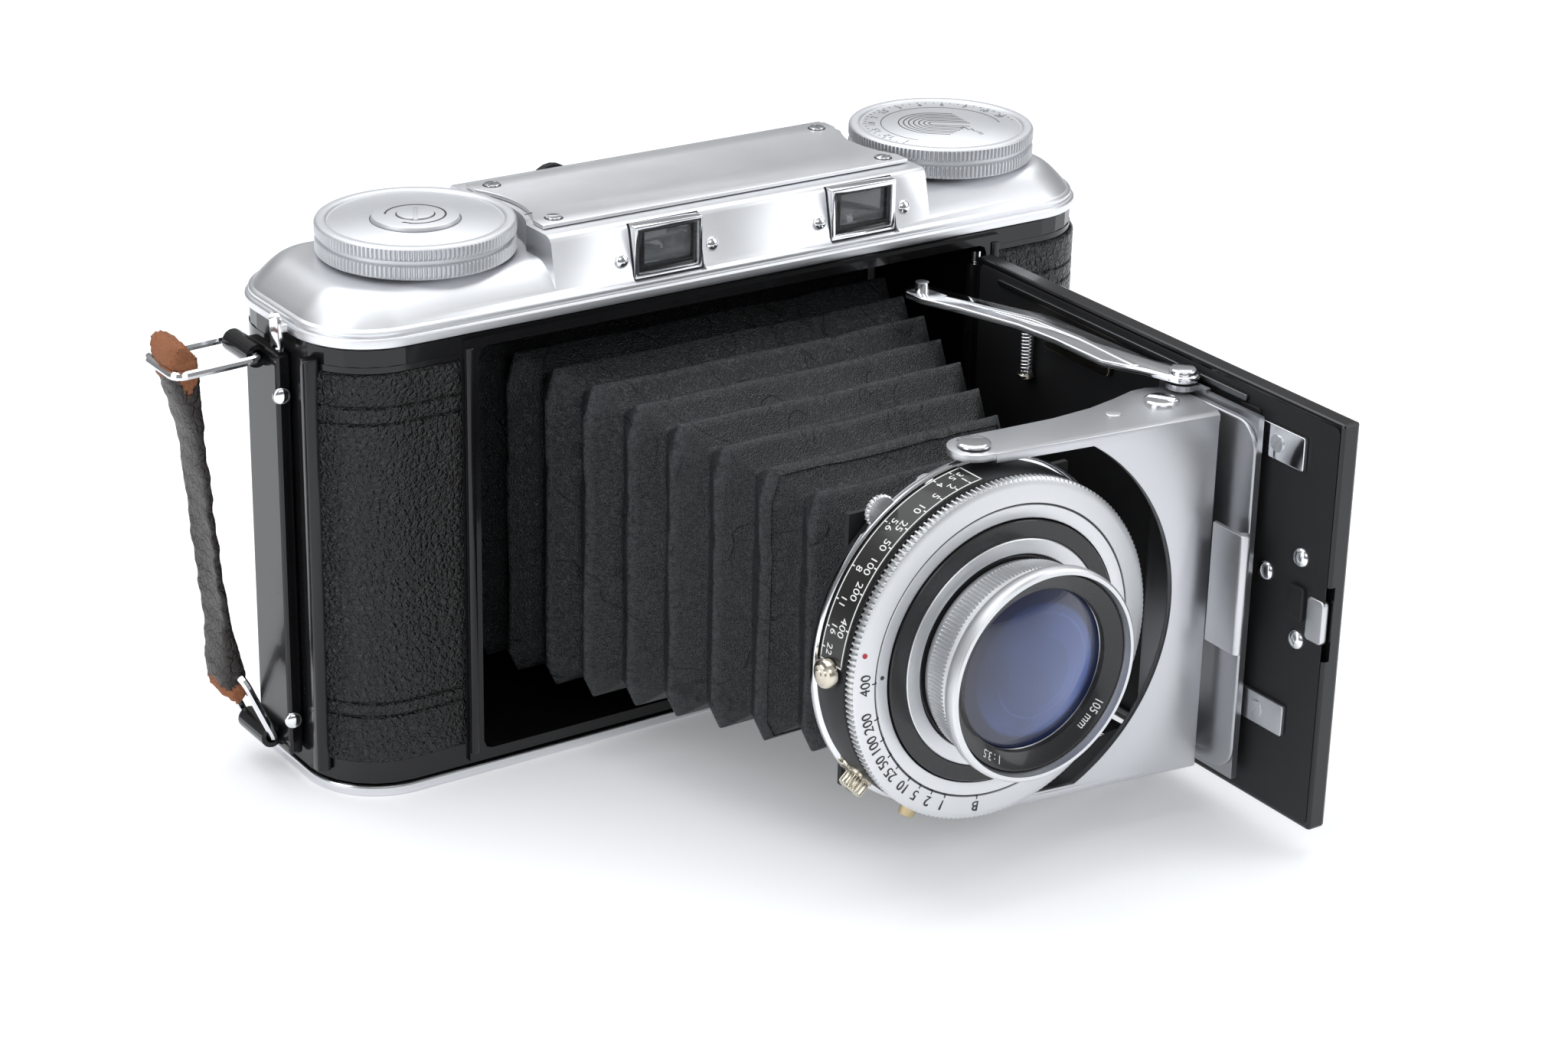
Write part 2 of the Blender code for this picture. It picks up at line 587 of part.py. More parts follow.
# Front bracket: two arms joined by a web with a round opening, satin finished.
bracket = pivot("bracket_joint", BRACKET_PIVOT[0], BRACKET_PIVOT[1], AXIS_Z, carriage)
ARM = arc(LENS_PIVOT, 4.3, 80.0, 275.0, 14)
ARM += [(14.0, -92.3), (42.3, -95.6), (43.4, -93.6), (44.1, -88.0), (43.9, -84.0), (42.3, -81.2)]
ARM += [(39.6, -79.9), (36.6, -79.9), (32.0, -81.2), (26.0, -82.5), (18.0, -83.0), (8.0, -82.4)]
front_bracket = plate("front_bracket", ARM, ARM_LOW, ARM_HIGH, SATIN_ALUMINIUM, bracket)
low, high = mirrored_z(ARM_LOW, ARM_HIGH)
lower_arm = plate("bracket_arm_lower", ARM, low, high)
WEB_START = (1.2, -90.0)
WEB_END = (42.2, -95.1)
web_length = math.hypot(WEB_END[0] - WEB_START[0], WEB_END[1] - WEB_START[1])
web_turn = math.atan2(WEB_END[1] - WEB_START[1], WEB_END[0] - WEB_START[0])
web = box("bracket_web", (-web_length / 2.0, -0.55, low), (web_length / 2.0, 0.55, ARM_HIGH))
web.location = Vector(((WEB_START[0] + WEB_END[0]) / 2, (WEB_START[1] + WEB_END[1]) / 2, AXIS_Z)) * UNIT
web.rotation_euler = (0.0, 0.0, web_turn)
OPENING_RADIUS = 35.3
OPENING_HALF = 29.9
flat_angle = math.degrees(math.asin(OPENING_HALF / OPENING_RADIUS))
opening = [(-14.0, AXIS_Z - OPENING_HALF)]
opening += arc((0.0, AXIS_Z), OPENING_RADIUS, -flat_angle, flat_angle, 20)
opening += [(-14.0, AXIS_Z + OPENING_HALF)]
web_opening = plate("web_opening", opening, -102.0, -84.0, plane="XZ")
cut(web, web_opening)
join(front_bracket, lower_arm, web)
for tag in ("upper", "lower"):
    sign = 1.0 if tag == "upper" else -1.0
    head_z = AXIS_Z + sign * (ARM_HIGH - AXIS_Z + 0.25)
    shank_z = AXIS_Z + sign * 30.4
    join(
        front_bracket,
        rod("bracket_rivet_" + tag, (*BRACKET_PIVOT, shank_z), 1.0, 3.2, sides=16),
    )
    cut(front_bracket, rod("lens_pivot_hole_" + tag, (*LENS_PIVOT, AXIS_Z + sign * 31.0), 1.5, 4.0, sides=20))

# Struts from the carriage ears back to the bay.
STRUT = arc(STRUT_PIVOT, 2.9, -150.0, 30.0, 10)
STRUT += [(44.2, -76.0), (43.6, -65.0), (43.0, -50.0), (39.8, -43.0), (36.8, -35.0), (34.4, -27.6)]
STRUT += [(32.6, -25.4), (30.2, -25.6), (28.8, -27.8), (29.2, -32.0), (31.8, -39.0), (35.4, -51.0)]
STRUT += [(36.4, -60.0), (36.6, -72.0), (40.2, -79.0)]
STRUT_REAR = (31.7, -28.6)
for tag in ("upper", "lower"):
    sign = 1.0 if tag == "upper" else -1.0
    flat_range = (73.6, 74.8) if tag == "upper" else mirrored_z(73.6, 74.8)
    parent = pivot("strut_joint_" + tag, STRUT_PIVOT[0], STRUT_PIVOT[1], sum(flat_range) / 2.0, carriage)
    strut = plate("strut_" + tag, STRUT, flat_range[0], flat_range[1], BRIGHT_CHROME, parent)
    dome = rod("strut_dome_" + tag, (*STRUT_PIVOT, AXIS_Z + sign * 34.6), 2.3, 1.0, sides=20)
    shank = rod("strut_shank_" + tag, (*STRUT_PIVOT, AXIS_Z + sign * 32.9), 1.0, 2.4, sides=16)
    pin_middle, pin_length = (34.7, 3.2) if tag == "upper" else (34.2, 2.2)
    pin = rod("strut_pin_" + tag, (*STRUT_REAR, AXIS_Z + sign * pin_middle), 1.2, pin_length, sides=16)
    join(strut, dome, shank, pin)

# Lens and shutter, turning on two pivots in the bracket arms.
lens = pivot("lens_joint", LENS_PIVOT[0], LENS_PIVOT[1], AXIS_Z, bracket)
for tag in ("upper", "lower"):
    sign = 1.0 if tag == "upper" else -1.0
    stud = rod("lens_pivot_" + tag, (*LENS_PIVOT, AXIS_Z + sign * 32.2), 2.7, 0.8, "Z", BRIGHT_CHROME, lens, 24)
    join(stud, rod("lens_shank_" + tag, (*LENS_PIVOT, AXIS_Z + sign * 29.6), 1.2, 4.8, sides=16))
AXIS_POINT = (0.0, 0.0, AXIS_Z)
lens_board = turned(
    "lens_board",
    [(12.0, 91.5), (BOARD_RADIUS, 91.5), (BOARD_RADIUS, 83.9), (28.2, 83.4), (12.0, 83.4)],
    AXIS_POINT, "-Y", BLACK_PAINT, lens, 40,
)
cut(
    lens_board,
    rod("board_hole_upper", (*LENS_PIVOT, AXIS_Z + 29.0), 1.45, 5.4, sides=20),
    rod("board_hole_lower", (*LENS_PIVOT, AXIS_Z - 29.0), 1.45, 5.4, sides=20),
)
bellows_frame = box("bellows_frame", (-21.5, -83.2, 17.0), (21.5, -82.2, 64.0), BLACK_PAINT, lens)
cut(bellows_frame, rod("frame_hole", (0.0, -82.7, AXIS_Z), 12.0, 4.0, "Y", sides=32))
board_rim = turned(
    "board_rim",
    [(28.95, 84.55), (29.5, 84.55), (29.8, 84.3), (29.8, 83.4), (28.95, 83.4)],
    AXIS_POINT, "-Y", BRIGHT_CHROME, lens, 36,
)
PLATE_START = 97.0
PLATE_END = 178.0
plate_inner = arc((0.0, AXIS_Z), BOARD_RADIUS + 0.25, PLATE_START, PLATE_END, 18)
plate_outer = arc((0.0, AXIS_Z), BOARD_RADIUS + 0.75, PLATE_END, PLATE_START, 18)
scale_plate = plate("scale_plate", plate_inner + plate_outer, -91.3, -86.6, BLACK_ENAMEL, lens, "XZ")
speed = pivot("speed_ring_joint", 0.0, -93.0, AXIS_Z, lens)
speed_ring = turned(
    "speed_ring",
    [(22.4, 96.0), (26.0, 96.0), (28.2, 95.6), (RING_RADIUS, 95.0), (RING_RADIUS, 91.8), (22.4, 91.8)],
    AXIS_POINT, "-Y", SATIN_ALUMINIUM, speed, 40,
)
shutter_face = turned(
    "shutter_face",
    [(12.4, 96.6), (18.3, 96.6), (18.6, 96.2), (21.7, 96.2), (22.1, 95.8), (22.1, 91.8), (12.4, 91.8)],
    AXIS_POINT, "-Y", BLACK_PAINT, lens, 40,
)
front_cell = turned(
    "front_cell",
    [
        (16.7, 106.9), (17.5, 106.9), (FRONT_RING_RADIUS, 106.5), (FRONT_RING_RADIUS, 104.3),
        (16.2, 103.5), (16.2, 96.9), (13.6, 96.9), (13.6, 103.0), (16.7, 104.6),
    ],
    AXIS_POINT, "-Y", SATIN_ALUMINIUM, lens, 36,
)
name_ring = turned(
    "name_ring",
    [(13.7, 104.6), (16.2, 106.1), (16.4, 106.0), (16.4, 104.8), (13.7, 103.4)],
    AXIS_POINT, "-Y", BLACK_PAINT, lens, 36,
)
front_glass = turned(
    "front_glass",
    [(0.0, 105.6), (4.5, 105.3), (9.0, 104.4), (13.2, 102.6), (13.2, 99.4), (0.0, 99.4)],
    AXIS_POINT, "-Y", GLASS, lens, 28,
)
rear_cell = turned(
    "rear_cell",
    [(9.2, 91.3), (11.6, 91.3), (11.6, 82.0), (10.6, 81.6), (10.6, 77.6), (9.2, 77.6)],
    AXIS_POINT, "-Y", BLACK_PAINT, lens, 32,
)
rear_glass = turned(
    "rear_glass",
    [(0.0, 81.0), (8.9, 81.0), (8.9, 79.4), (5.0, 78.3), (0.0, 77.9)],
    AXIS_POINT, "-Y", GLASS, lens, 28,
)


def around(radius, angle, depth):
    """A point beside the lens axis, at an angle seen from the front."""
    turn = math.radians(angle)
    return (radius * math.cos(turn), depth, AXIS_Z + radius * math.sin(turn))


def radial_rod(name, angle, start, end, depth, radius, material, parent, tip=None, sides=20):
    """A rod that stands out from the lens axis at an angle."""
    item = rod(name, around((start + end) / 2.0, angle, depth), radius, end - start, "Z", material, parent, sides, tip)
    item.rotation_euler = (0.0, math.pi / 2.0 - math.radians(angle), 0.0)
    return item


aperture = pivot("aperture_joint", 0.0, -88.6, AXIS_Z, lens)
radial_rod("aperture_lever", 126.0, 29.75, 32.6, -88.8, 1.5, SATIN_CHROME, aperture, 1.5, 12)
sync_socket = radial_rod("sync_socket", 226.0, 28.95, 32.0, -88.4, 2.2, NICKEL, lens, None, 24)
cut(sync_socket, radial_rod("sync_bore", 226.0, 30.5, 34.0, -88.4, 0.7, None, None, None, 12))
radial_rod("cable_socket", 247.0, 28.95, 31.2, -88.4, 1.3, NICKEL, lens, 1.0, 20)
cocking = pivot("cocking_joint", 0.0, -88.6, AXIS_Z, lens)
radial_rod("cocking_button", 183.0, 28.95, 31.6, -88.6, 2.4, BRIGHT_CHROME, cocking, 1.2, 24)


# Bellows: a tapering hollow sleeve between the film gate and the lens board.
def sleeve_ring(y, half_x, half_z):
    return [
        (-half_x, y, AXIS_Z - half_z), (half_x, y, AXIS_Z - half_z),
        (half_x, y, AXIS_Z + half_z), (-half_x, y, AXIS_Z + half_z),
    ]


bellows = loft(
    "bellows",
    [sleeve_ring(-81.9, 24.5, 24.0), sleeve_ring(-20.0, 46.2, 31.8), sleeve_ring(12.2, 47.5, 32.2)],
    BELLOWS_LEATHER, body,
)
hollow = loft(
    "bellows_hollow",
    [sleeve_ring(-95.0, 18.6, 18.6), sleeve_ring(-20.0, 43.6, 29.2), sleeve_ring(20.0, 44.8, 29.8)],
)
cut(bellows, hollow)
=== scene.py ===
import logging
import math
from collections.abc import Callable, Iterable, Sequence
from dataclasses import dataclass
from enum import Enum

import bmesh
import bpy
import numpy as np
from mathutils import Matrix, Vector


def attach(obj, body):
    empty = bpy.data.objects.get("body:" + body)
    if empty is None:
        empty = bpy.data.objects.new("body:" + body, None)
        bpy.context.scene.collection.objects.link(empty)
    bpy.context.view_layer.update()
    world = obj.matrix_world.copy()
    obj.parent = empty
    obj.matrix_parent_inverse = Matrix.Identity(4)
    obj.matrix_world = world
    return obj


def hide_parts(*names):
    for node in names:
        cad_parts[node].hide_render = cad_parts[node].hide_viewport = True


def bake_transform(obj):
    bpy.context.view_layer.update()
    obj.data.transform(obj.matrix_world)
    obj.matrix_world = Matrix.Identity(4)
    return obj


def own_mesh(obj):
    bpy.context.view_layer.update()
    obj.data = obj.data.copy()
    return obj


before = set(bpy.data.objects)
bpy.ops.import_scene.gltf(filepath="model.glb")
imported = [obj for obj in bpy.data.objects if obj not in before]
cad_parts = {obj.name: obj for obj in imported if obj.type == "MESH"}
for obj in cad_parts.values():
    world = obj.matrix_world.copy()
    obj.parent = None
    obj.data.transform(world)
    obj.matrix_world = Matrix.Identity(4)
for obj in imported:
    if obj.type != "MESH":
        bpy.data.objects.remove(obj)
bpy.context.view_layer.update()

LOG = logging.getLogger("folding_camera")

# One drawing millimetre of the camera in metres.
UNIT = 0.00108
# Corners closer together than this, in metres, are joined.
WELD = 2e-7
# Height of the lens axis, plan of the body and places of the knobs, in drawing millimetres.
AXIS_Z = 40.5
HALF_WIDTH = 77.5
BODY_FRONT = -20.0
CORNER_RADIUS = 13.0
KNOB_LEFT = -51.5
KNOB_RIGHT = 56.0
# Steps round a knurled form for each tooth; the second half of them are cut back.
TOOTH_STEPS = 4

Point = tuple[float, float, float]
Flat = tuple[float, float]
Colour = tuple[float, float, float]


class Slot(Enum):
    """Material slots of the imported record."""

    SATIN_CHROME = "satin_chrome"
    BRIGHT_CHROME = "bright_chrome"
    SATIN_ALUMINIUM = "satin_aluminium"
    DARK_STEEL = "dark_steel"
    BLACK_ENAMEL = "black_enamel"
    BLACK_PAINT = "black_paint"
    LEATHER = "leather"
    BELLOWS_LEATHER = "bellows_leather"
    STRAP_LEATHER = "strap_leather"
    COATED_GLASS = "coated_glass"
    FINDER_GLASS = "finder_glass"
    RED_GLASS = "red_glass"
    NICKEL = "nickel"


class Axis(Enum):
    """Directions that a turned form can face."""

    UP = "up"
    FRONT = "front"

    def place(self, radius: float, angle: float, height: float) -> Point:
        """Point at a radius and an angle round the axis.

        Args:
            radius: distance from the axis.
            angle: angle in radians, anticlockwise as the form is faced.
            height: distance along the axis.

        Returns:
            The point, with the axis through the origin.
        """
        across, along = radius * math.cos(angle), radius * math.sin(angle)
        if self is Axis.UP:
            return across, along, height
        return across, -height, along


class Plane(Enum):
    """Planes that an outline can be drawn in."""

    XY = "xy"
    XZ = "xz"
    YZ = "yz"

    def place(self, first: float, second: float, level: float) -> Point:
        """Point of the plane at two coordinates and a level across it."""
        if self is Plane.XY:
            return first, second, level
        if self is Plane.XZ:
            return first, level, second
        return level, first, second


class Flow:
    """The value of one socket, whose arithmetic adds Math nodes."""

    def __init__(self, recipe: "Recipe", socket: bpy.types.NodeSocket) -> None:
        """Wrap a socket of a recipe."""
        self.recipe = recipe
        self.socket = socket

    def _math(self, operation: str, first: "Flow | float", second: "Flow | float") -> "Flow":
        """Add a Math node on two values.

        Args:
            operation: the node's operation.
            first: its first value.
            second: its second value.

        Returns:
            The node's result.
        """
        node = self.recipe.node("ShaderNodeMath", {"operation": operation}, {0: first, 1: second})
        return Flow(self.recipe, node.outputs[0])

    def __add__(self, other: "Flow | float") -> "Flow":
        """Sum of two values."""
        return self._math("ADD", self, other)

    __radd__ = __add__

    def __sub__(self, other: "Flow | float") -> "Flow":
        """Difference of two values."""
        return self._math("SUBTRACT", self, other)

    def __rsub__(self, other: float) -> "Flow":
        """Difference from a number."""
        return self._math("SUBTRACT", other, self)

    def __mul__(self, other: "Flow | float") -> "Flow":
        """Product of two values."""
        return self._math("MULTIPLY", self, other)

    def __pow__(self, power: float) -> "Flow":
        """Value raised to a power."""
        return self._math("POWER", self, power)

    def eased(self, low: float, high: float) -> "Flow":
        """Smooth step of the value.

        Args:
            low: where the step starts.
            high: where it ends.

        Returns:
            A value from 0 at low to 1 at high.
        """
        node = self.recipe.node(
            "ShaderNodeMapRange",
            {"interpolation_type": "SMOOTHSTEP"},
            {"Value": self, "From Min": low, "From Max": high},
        )
        return Flow(self.recipe, node.outputs[0])


class Recipe:
    """The nodes of one material."""

    def __init__(self, name: str) -> None:
        """Start a material with its Principled shader."""
        self.material = bpy.data.materials.new(name)
        self.material.use_nodes = True
        self.tree = self.material.node_tree
        self.shader = self.tree.nodes["Principled BSDF"]

    def node(self, kind: str, settings: dict | None = None, sockets: dict | None = None) -> bpy.types.Node:
        """Add a node.

        Args:
            kind: the node's type.
            settings: its settings, set first.
            sockets: values or flows of its inputs, by name or number.

        Returns:
            The node.
        """
        node = self.tree.nodes.new(kind)
        for key, value in (settings or {}).items():
            setattr(node, key, value)
        for key, value in (sockets or {}).items():
            self.feed(node.inputs[key], value)
        return node

    def feed(self, socket: bpy.types.NodeSocket, value: "Flow | float | Colour") -> None:
        """Set a socket to a value or link it to a flow."""
        if isinstance(value, Flow):
            self.tree.links.new(value.socket, socket)
        elif socket.type == "RGBA":
            socket.default_value = (*value, 1.0)
        else:
            socket.default_value = value

    def flow(self, node: bpy.types.Node, output: str | int = 0) -> Flow:
        """Value of a node's output."""
        return Flow(self, node.outputs[output])

    def place(self) -> Flow:
        """Place on the object, in metres."""
        return self.flow(self.node("ShaderNodeTexCoord"), "Object")

    def stretched(self, place: Flow, stretch: Point) -> Flow:
        """Place multiplied along each axis."""
        node = self.node("ShaderNodeVectorMath", {"operation": "MULTIPLY"}, {0: place, 1: stretch})
        return self.flow(node)

    def noise(self, place: Flow, size: float, detail: float = 2.0, sharp: float = 0.5) -> Flow:
        """Soft noise.

        Args:
            place: where it is read.
            size: size of its patches in metres.
            detail: how many finer layers it has.
            sharp: how strong those are.

        Returns:
            A value from 0 to 1.
        """
        node = self.node(
            "ShaderNodeTexNoise", None,
            {"Vector": place, "Scale": 1.0 / size, "Detail": detail, "Roughness": sharp},
        )
        return self.flow(node, "Fac")

    def cells(self, place: Flow, size: float) -> Flow:
        """Distance to the nearest edge in a pattern of cells.

        Args:
            place: where it is read.
            size: size of a cell in metres.

        Returns:
            The distance, as a share of a cell.
        """
        node = self.node(
            "ShaderNodeTexVoronoi", {"feature": "DISTANCE_TO_EDGE"}, {"Vector": place, "Scale": 1.0 / size}
        )
        return self.flow(node, "Distance")

    def warped(self, place: Flow, size: float, amount: float) -> Flow:
        """Place shifted by noise, so that a pattern read there isn't regular."""
        noise = self.node("ShaderNodeTexNoise", None, {"Vector": place, "Scale": 1.0 / size})
        shift = self.node(
            "ShaderNodeVectorMath", {"operation": "SCALE"}, {0: self.flow(noise, "Color"), "Scale": amount}
        )
        node = self.node("ShaderNodeVectorMath", {"operation": "ADD"}, {0: place, 1: self.flow(shift)})
        return self.flow(node)

    def part(self, place: Flow, index: int) -> Flow:
        """One coordinate of a place, 0 to 2."""
        return self.flow(self.node("ShaderNodeSeparateXYZ", None, {0: place}), index)

    def attribute(self, name: str) -> Flow:
        """A value painted on the mesh."""
        return self.flow(self.node("ShaderNodeAttribute", {"attribute_name": name}), "Fac")

    def blended(self, factor: Flow, low: "Colour | Flow", high: "Colour | Flow") -> Flow:
        """Colour between two others.

        Args:
            factor: 0 gives the first colour and 1 the second.
            low: first colour.
            high: second colour.

        Returns:
            The colour.
        """
        node = self.node(
            "ShaderNodeMix", {"data_type": "RGBA", "clamp_factor": True}, {0: factor, 6: low, 7: high}
        )
        return self.flow(node, 2)

    def bump(self, height: Flow, depth: float) -> Flow:
        """Surface direction under a relief.

        Args:
            height: the relief, from 0 to 1.
            depth: how deep it is in metres.

        Returns:
            The normal.
        """
        node = self.node("ShaderNodeBump", None, {"Height": height, "Distance": depth, "Strength": 1.0})
        return self.flow(node)

    def surface(self, **sockets: "Flow | float | Colour") -> bpy.types.Material:
        """Set the shader's sockets, named with underscores, and return the material."""
        for name, value in sockets.items():
            words = ["IOR" if word == "ior" else word.capitalize() for word in name.split("_")]
            self.feed(self.shader.inputs[" ".join(words)], value)
        return self.material


@dataclass(frozen=True)
class Finish:
    """A finish of some of the camera's surfaces."""

    name: str
    slot: Slot

    def material(self) -> bpy.types.Material:
        """The finish's material, made when it is first asked for."""
        return bpy.data.materials.get(self.name) or self.make()

    def make(self) -> bpy.types.Material:
        """Make the material."""
        raise NotImplementedError


@dataclass(frozen=True)
class Metal(Finish):
    """Plated or bare metal, from blasted satin to a polish."""

    tone: Colour
    roughness: float
    grain: float = 0.00016
    stretch: Point = (1.0, 1.0, 1.0)
    relief: float = 0.0000012
    cloud: float = 0.025

    def make(self) -> bpy.types.Material:
        """Make the metal with its grain, clouding and small scratches."""
        recipe = Recipe(self.name)
        place = recipe.place()
        grain = recipe.noise(recipe.stretched(place, self.stretch), self.grain, 3.0)
        cloud = recipe.noise(place, 0.011, 4.0, 0.6)
        specks = recipe.noise(place, 0.0011, 1.0).eased(0.70, 0.78)
        darker = tuple(channel * (1.0 - 3.0 * self.cloud) for channel in self.tone)
        base = recipe.blended(cloud * 0.7 + grain * 0.3 - specks * 0.25, darker, self.tone)
        rough = self.roughness + (grain - 0.5) * 0.10 + (cloud - 0.5) * 0.05 + specks * 0.03
        return recipe.surface(
            base_color=base, roughness=rough, metallic=1.0, normal=recipe.bump(grain, self.relief)
        )


@dataclass(frozen=True)
class Enamel(Finish):
    """Hard black paint with a gloss, fine dust and handling marks."""

    tone: Colour
    roughness: float
    gloss: float = 0.4

    def make(self) -> bpy.types.Material:
        """Make the paint."""
        recipe = Recipe(self.name)
        place = recipe.place()
        cloud = recipe.noise(place, 0.014, 5.0, 0.62)
        dust = recipe.noise(place, 0.0006, 1.0).eased(0.76, 0.80)
        peel = recipe.noise(place, 0.0011, 2.0)
        lighter = tuple(channel * 1.9 + 0.004 for channel in self.tone)
        base = recipe.blended(cloud * 0.5 + dust * 0.5, self.tone, lighter)
        rough = self.roughness + (cloud - 0.45) * 0.22 + dust * 0.2
        return recipe.surface(
            base_color=base, roughness=rough, specular_ior_level=0.3,
            coat_weight=self.gloss, coat_roughness=0.06, normal=recipe.bump(peel, 0.000006),
        )


@dataclass(frozen=True)
class Leather(Finish):
    """Pebbled black leather covering."""

    tone: Colour = (0.0045, 0.0045, 0.005)
    pebble: float = 0.00135

    def make(self) -> bpy.types.Material:
        """Make the leather with pebbles, creases between them and scuffed tops."""
        recipe = Recipe(self.name)
        place = recipe.warped(recipe.place(), 0.0016, 0.0009)
        pebble = recipe.cells(place, self.pebble).eased(0.0, 0.30)
        small = recipe.cells(place, self.pebble * 0.42).eased(0.0, 0.35)
        pores = recipe.noise(place, 0.0002, 2.0)
        scuff = recipe.noise(recipe.place(), 0.012, 5.0, 0.65).eased(0.5, 0.75)
        height = pebble * 0.62 + small * 0.28 + pores * 0.1
        worn = tuple(channel * 3.2 for channel in self.tone)
        base = recipe.blended(pebble * 0.3 + scuff * pebble * 0.7, self.tone, worn)
        rough = 0.30 - pebble * 0.05 + scuff * 0.10 + (pores - 0.5) * 0.12
        return recipe.surface(
            base_color=base, roughness=rough, specular_ior_level=0.45, normal=recipe.bump(height, 0.00075)
        )


@dataclass(frozen=True)
class PleatedLeather(Finish):
    """Thin black bellows leather, grey where its folds have worn."""

    tone: Colour = (0.0048, 0.0054, 0.006)

    def make(self) -> bpy.types.Material:
        """Make the leather with a fine grain, cracks and worn folds."""
        recipe = Recipe(self.name)
        place = recipe.place()
        warped = recipe.warped(place, 0.004, 0.0012)
        grain = recipe.cells(warped, 0.00042).eased(0.0, 0.4)
        run = recipe.noise(recipe.stretched(warped, (1.0, 0.035, 1.0)), 0.011, 1.0) - 0.5
        dry = 1.0 - (run * run).eased(0.0, 0.00012)
        cracks = 1.0 - dry * recipe.noise(place, 0.006, 2.0).eased(0.42, 0.55)
        cloud = recipe.noise(place, 0.009, 5.0, 0.66)
        wear = recipe.attribute("wear") * recipe.noise(place, 0.0009, 3.0, 0.7).eased(0.30, 0.62)
        pale = cloud * 0.2 + wear * 0.8 - (1.0 - cracks) * 0.3
        base = recipe.blended(pale, self.tone, (0.040, 0.044, 0.048))
        rough = 0.38 + (cloud - 0.5) * 0.22 + wear * 0.25 - grain * 0.04
        height = grain * 0.34 + cracks * 0.42 + recipe.noise(place, 0.0023, 3.0) * 0.5
        return recipe.surface(
            base_color=base, roughness=rough, specular_ior_level=0.36, normal=recipe.bump(height, 0.00035)
        )


@dataclass(frozen=True)
class StrapHide(Finish):
    """Old strap leather: black and cracked outside, rust brown where it is torn."""

    def make(self) -> bpy.types.Material:
        """Make the leather from the torn value painted on the mesh."""
        recipe = Recipe(self.name)
        place = recipe.place()
        fibre = recipe.noise(place, 0.0005, 4.0, 0.75)
        cloud = recipe.noise(place, 0.0042, 4.0, 0.6)
        torn = (recipe.attribute("torn") + (fibre - 0.5) * 0.55 + (cloud - 0.5) * 0.7).eased(0.48, 0.60)
        skin = recipe.blended(cloud, (0.004, 0.0035, 0.0035), (0.020, 0.012, 0.009))
        flesh = recipe.blended(fibre, (0.16, 0.045, 0.018), (0.46, 0.19, 0.085))
        cracks = recipe.cells(recipe.warped(place, 0.002, 0.0012), 0.0016).eased(0.0, 0.12)
        height = fibre * (0.25 + torn * 0.75) + cracks * 0.4 * (1.0 - torn)
        return recipe.surface(
            base_color=recipe.blended(torn, skin, flesh), roughness=0.40 + torn * 0.5,
            normal=recipe.bump(height, 0.00045),
        )


@dataclass(frozen=True)
class LensWithPaintedReflection(Finish):
    """Blooming on a lens, deep blue, with a painted reflection sweeping across it, paler painted reflection
    arcs and a dark rim.
    """

    # Colour of the coating, and the lighter colour of the painted reflection on it.
    deep: Colour
    bright: Colour
    centre: Point
    reach: float

    def make(self) -> bpy.types.Material:
        """Make the coated glass, with a painted reflection shaded across its width."""
        recipe = Recipe(self.name)
        place = recipe.place()
        across = (recipe.part(place, 0) - self.centre[0] * UNIT) * (1.0 / (self.reach * UNIT))
        upward = (recipe.part(place, 2) - self.centre[2] * UNIT) * (1.0 / (self.reach * UNIT))
        radius = (across * across + upward * upward) ** 0.5
        # Painted reflection: the glass is painted lighter towards the right and the bottom.
        sweep = (across * 0.42 - upward * 0.22 + recipe.noise(place, 0.013, 1.0) * 0.5).eased(-0.25, 0.75)
        # Darker towards the rim, where the painted reflection is cut away.
        rim = radius.eased(0.80, 0.86)
        iris = 1.0 - radius.eased(0.42, 0.45)
        # Painted reflection arcs: thin lighter rings, stronger to the right, and a low one.
        painted_reflection_arcs = radius.eased(0.70, 0.715) * (1.0 - radius.eased(0.73, 0.745)) * across.eased(-0.2, 0.6)
        low_painted_reflection_arc = radius.eased(0.56, 0.565) * (1.0 - radius.eased(0.575, 0.58))
        painted_reflection_arcs = painted_reflection_arcs + low_painted_reflection_arc * (1.0 - upward.eased(-0.5, 0.1))
        # Coating colour with the painted reflection and the iris disc's tone.
        coating_and_painted_reflection = sweep * (1.0 - rim * 0.9) + painted_reflection_arcs * 0.3 + iris * (0.35 - sweep) * 0.4
        base = recipe.blended(coating_and_painted_reflection, self.deep, self.bright)
        return recipe.surface(
            base_color=base, roughness=0.25 + sweep * 0.05, coat_weight=1.0, coat_roughness=0.012,
        )


@dataclass(frozen=True)
class TintedGlass(Finish):
    """Tinted glass that lets part of the light through."""

    tone: Colour
    clear: float

    def make(self) -> bpy.types.Material:
        """Make the glass with a trace of dust."""
        recipe = Recipe(self.name)
        dust = recipe.noise(recipe.place(), 0.0012, 3.0, 0.7).eased(0.55, 0.9)
        return recipe.surface(
            base_color=self.tone, roughness=0.015 + dust * 0.06, transmission_weight=self.clear, ior=1.5,
            coat_weight=0.3, coat_roughness=0.02,
        )


@dataclass(frozen=True)
class MarkPaint(Finish):
    """Paint in the engraved numbers and lines, also used as painted shade round screw heads and the winding
    cap.
    """

    tone: Colour

    def make(self) -> bpy.types.Material:
        """Make the paint with slight wear."""
        recipe = Recipe(self.name)
        wear = recipe.noise(recipe.place(), 0.0005, 3.0)
        faded = tuple(channel * 0.8 + 0.02 for channel in self.tone)
        base = recipe.blended(wear, self.tone, faded)
        return recipe.surface(base_color=base, roughness=0.45 + wear * 0.2)


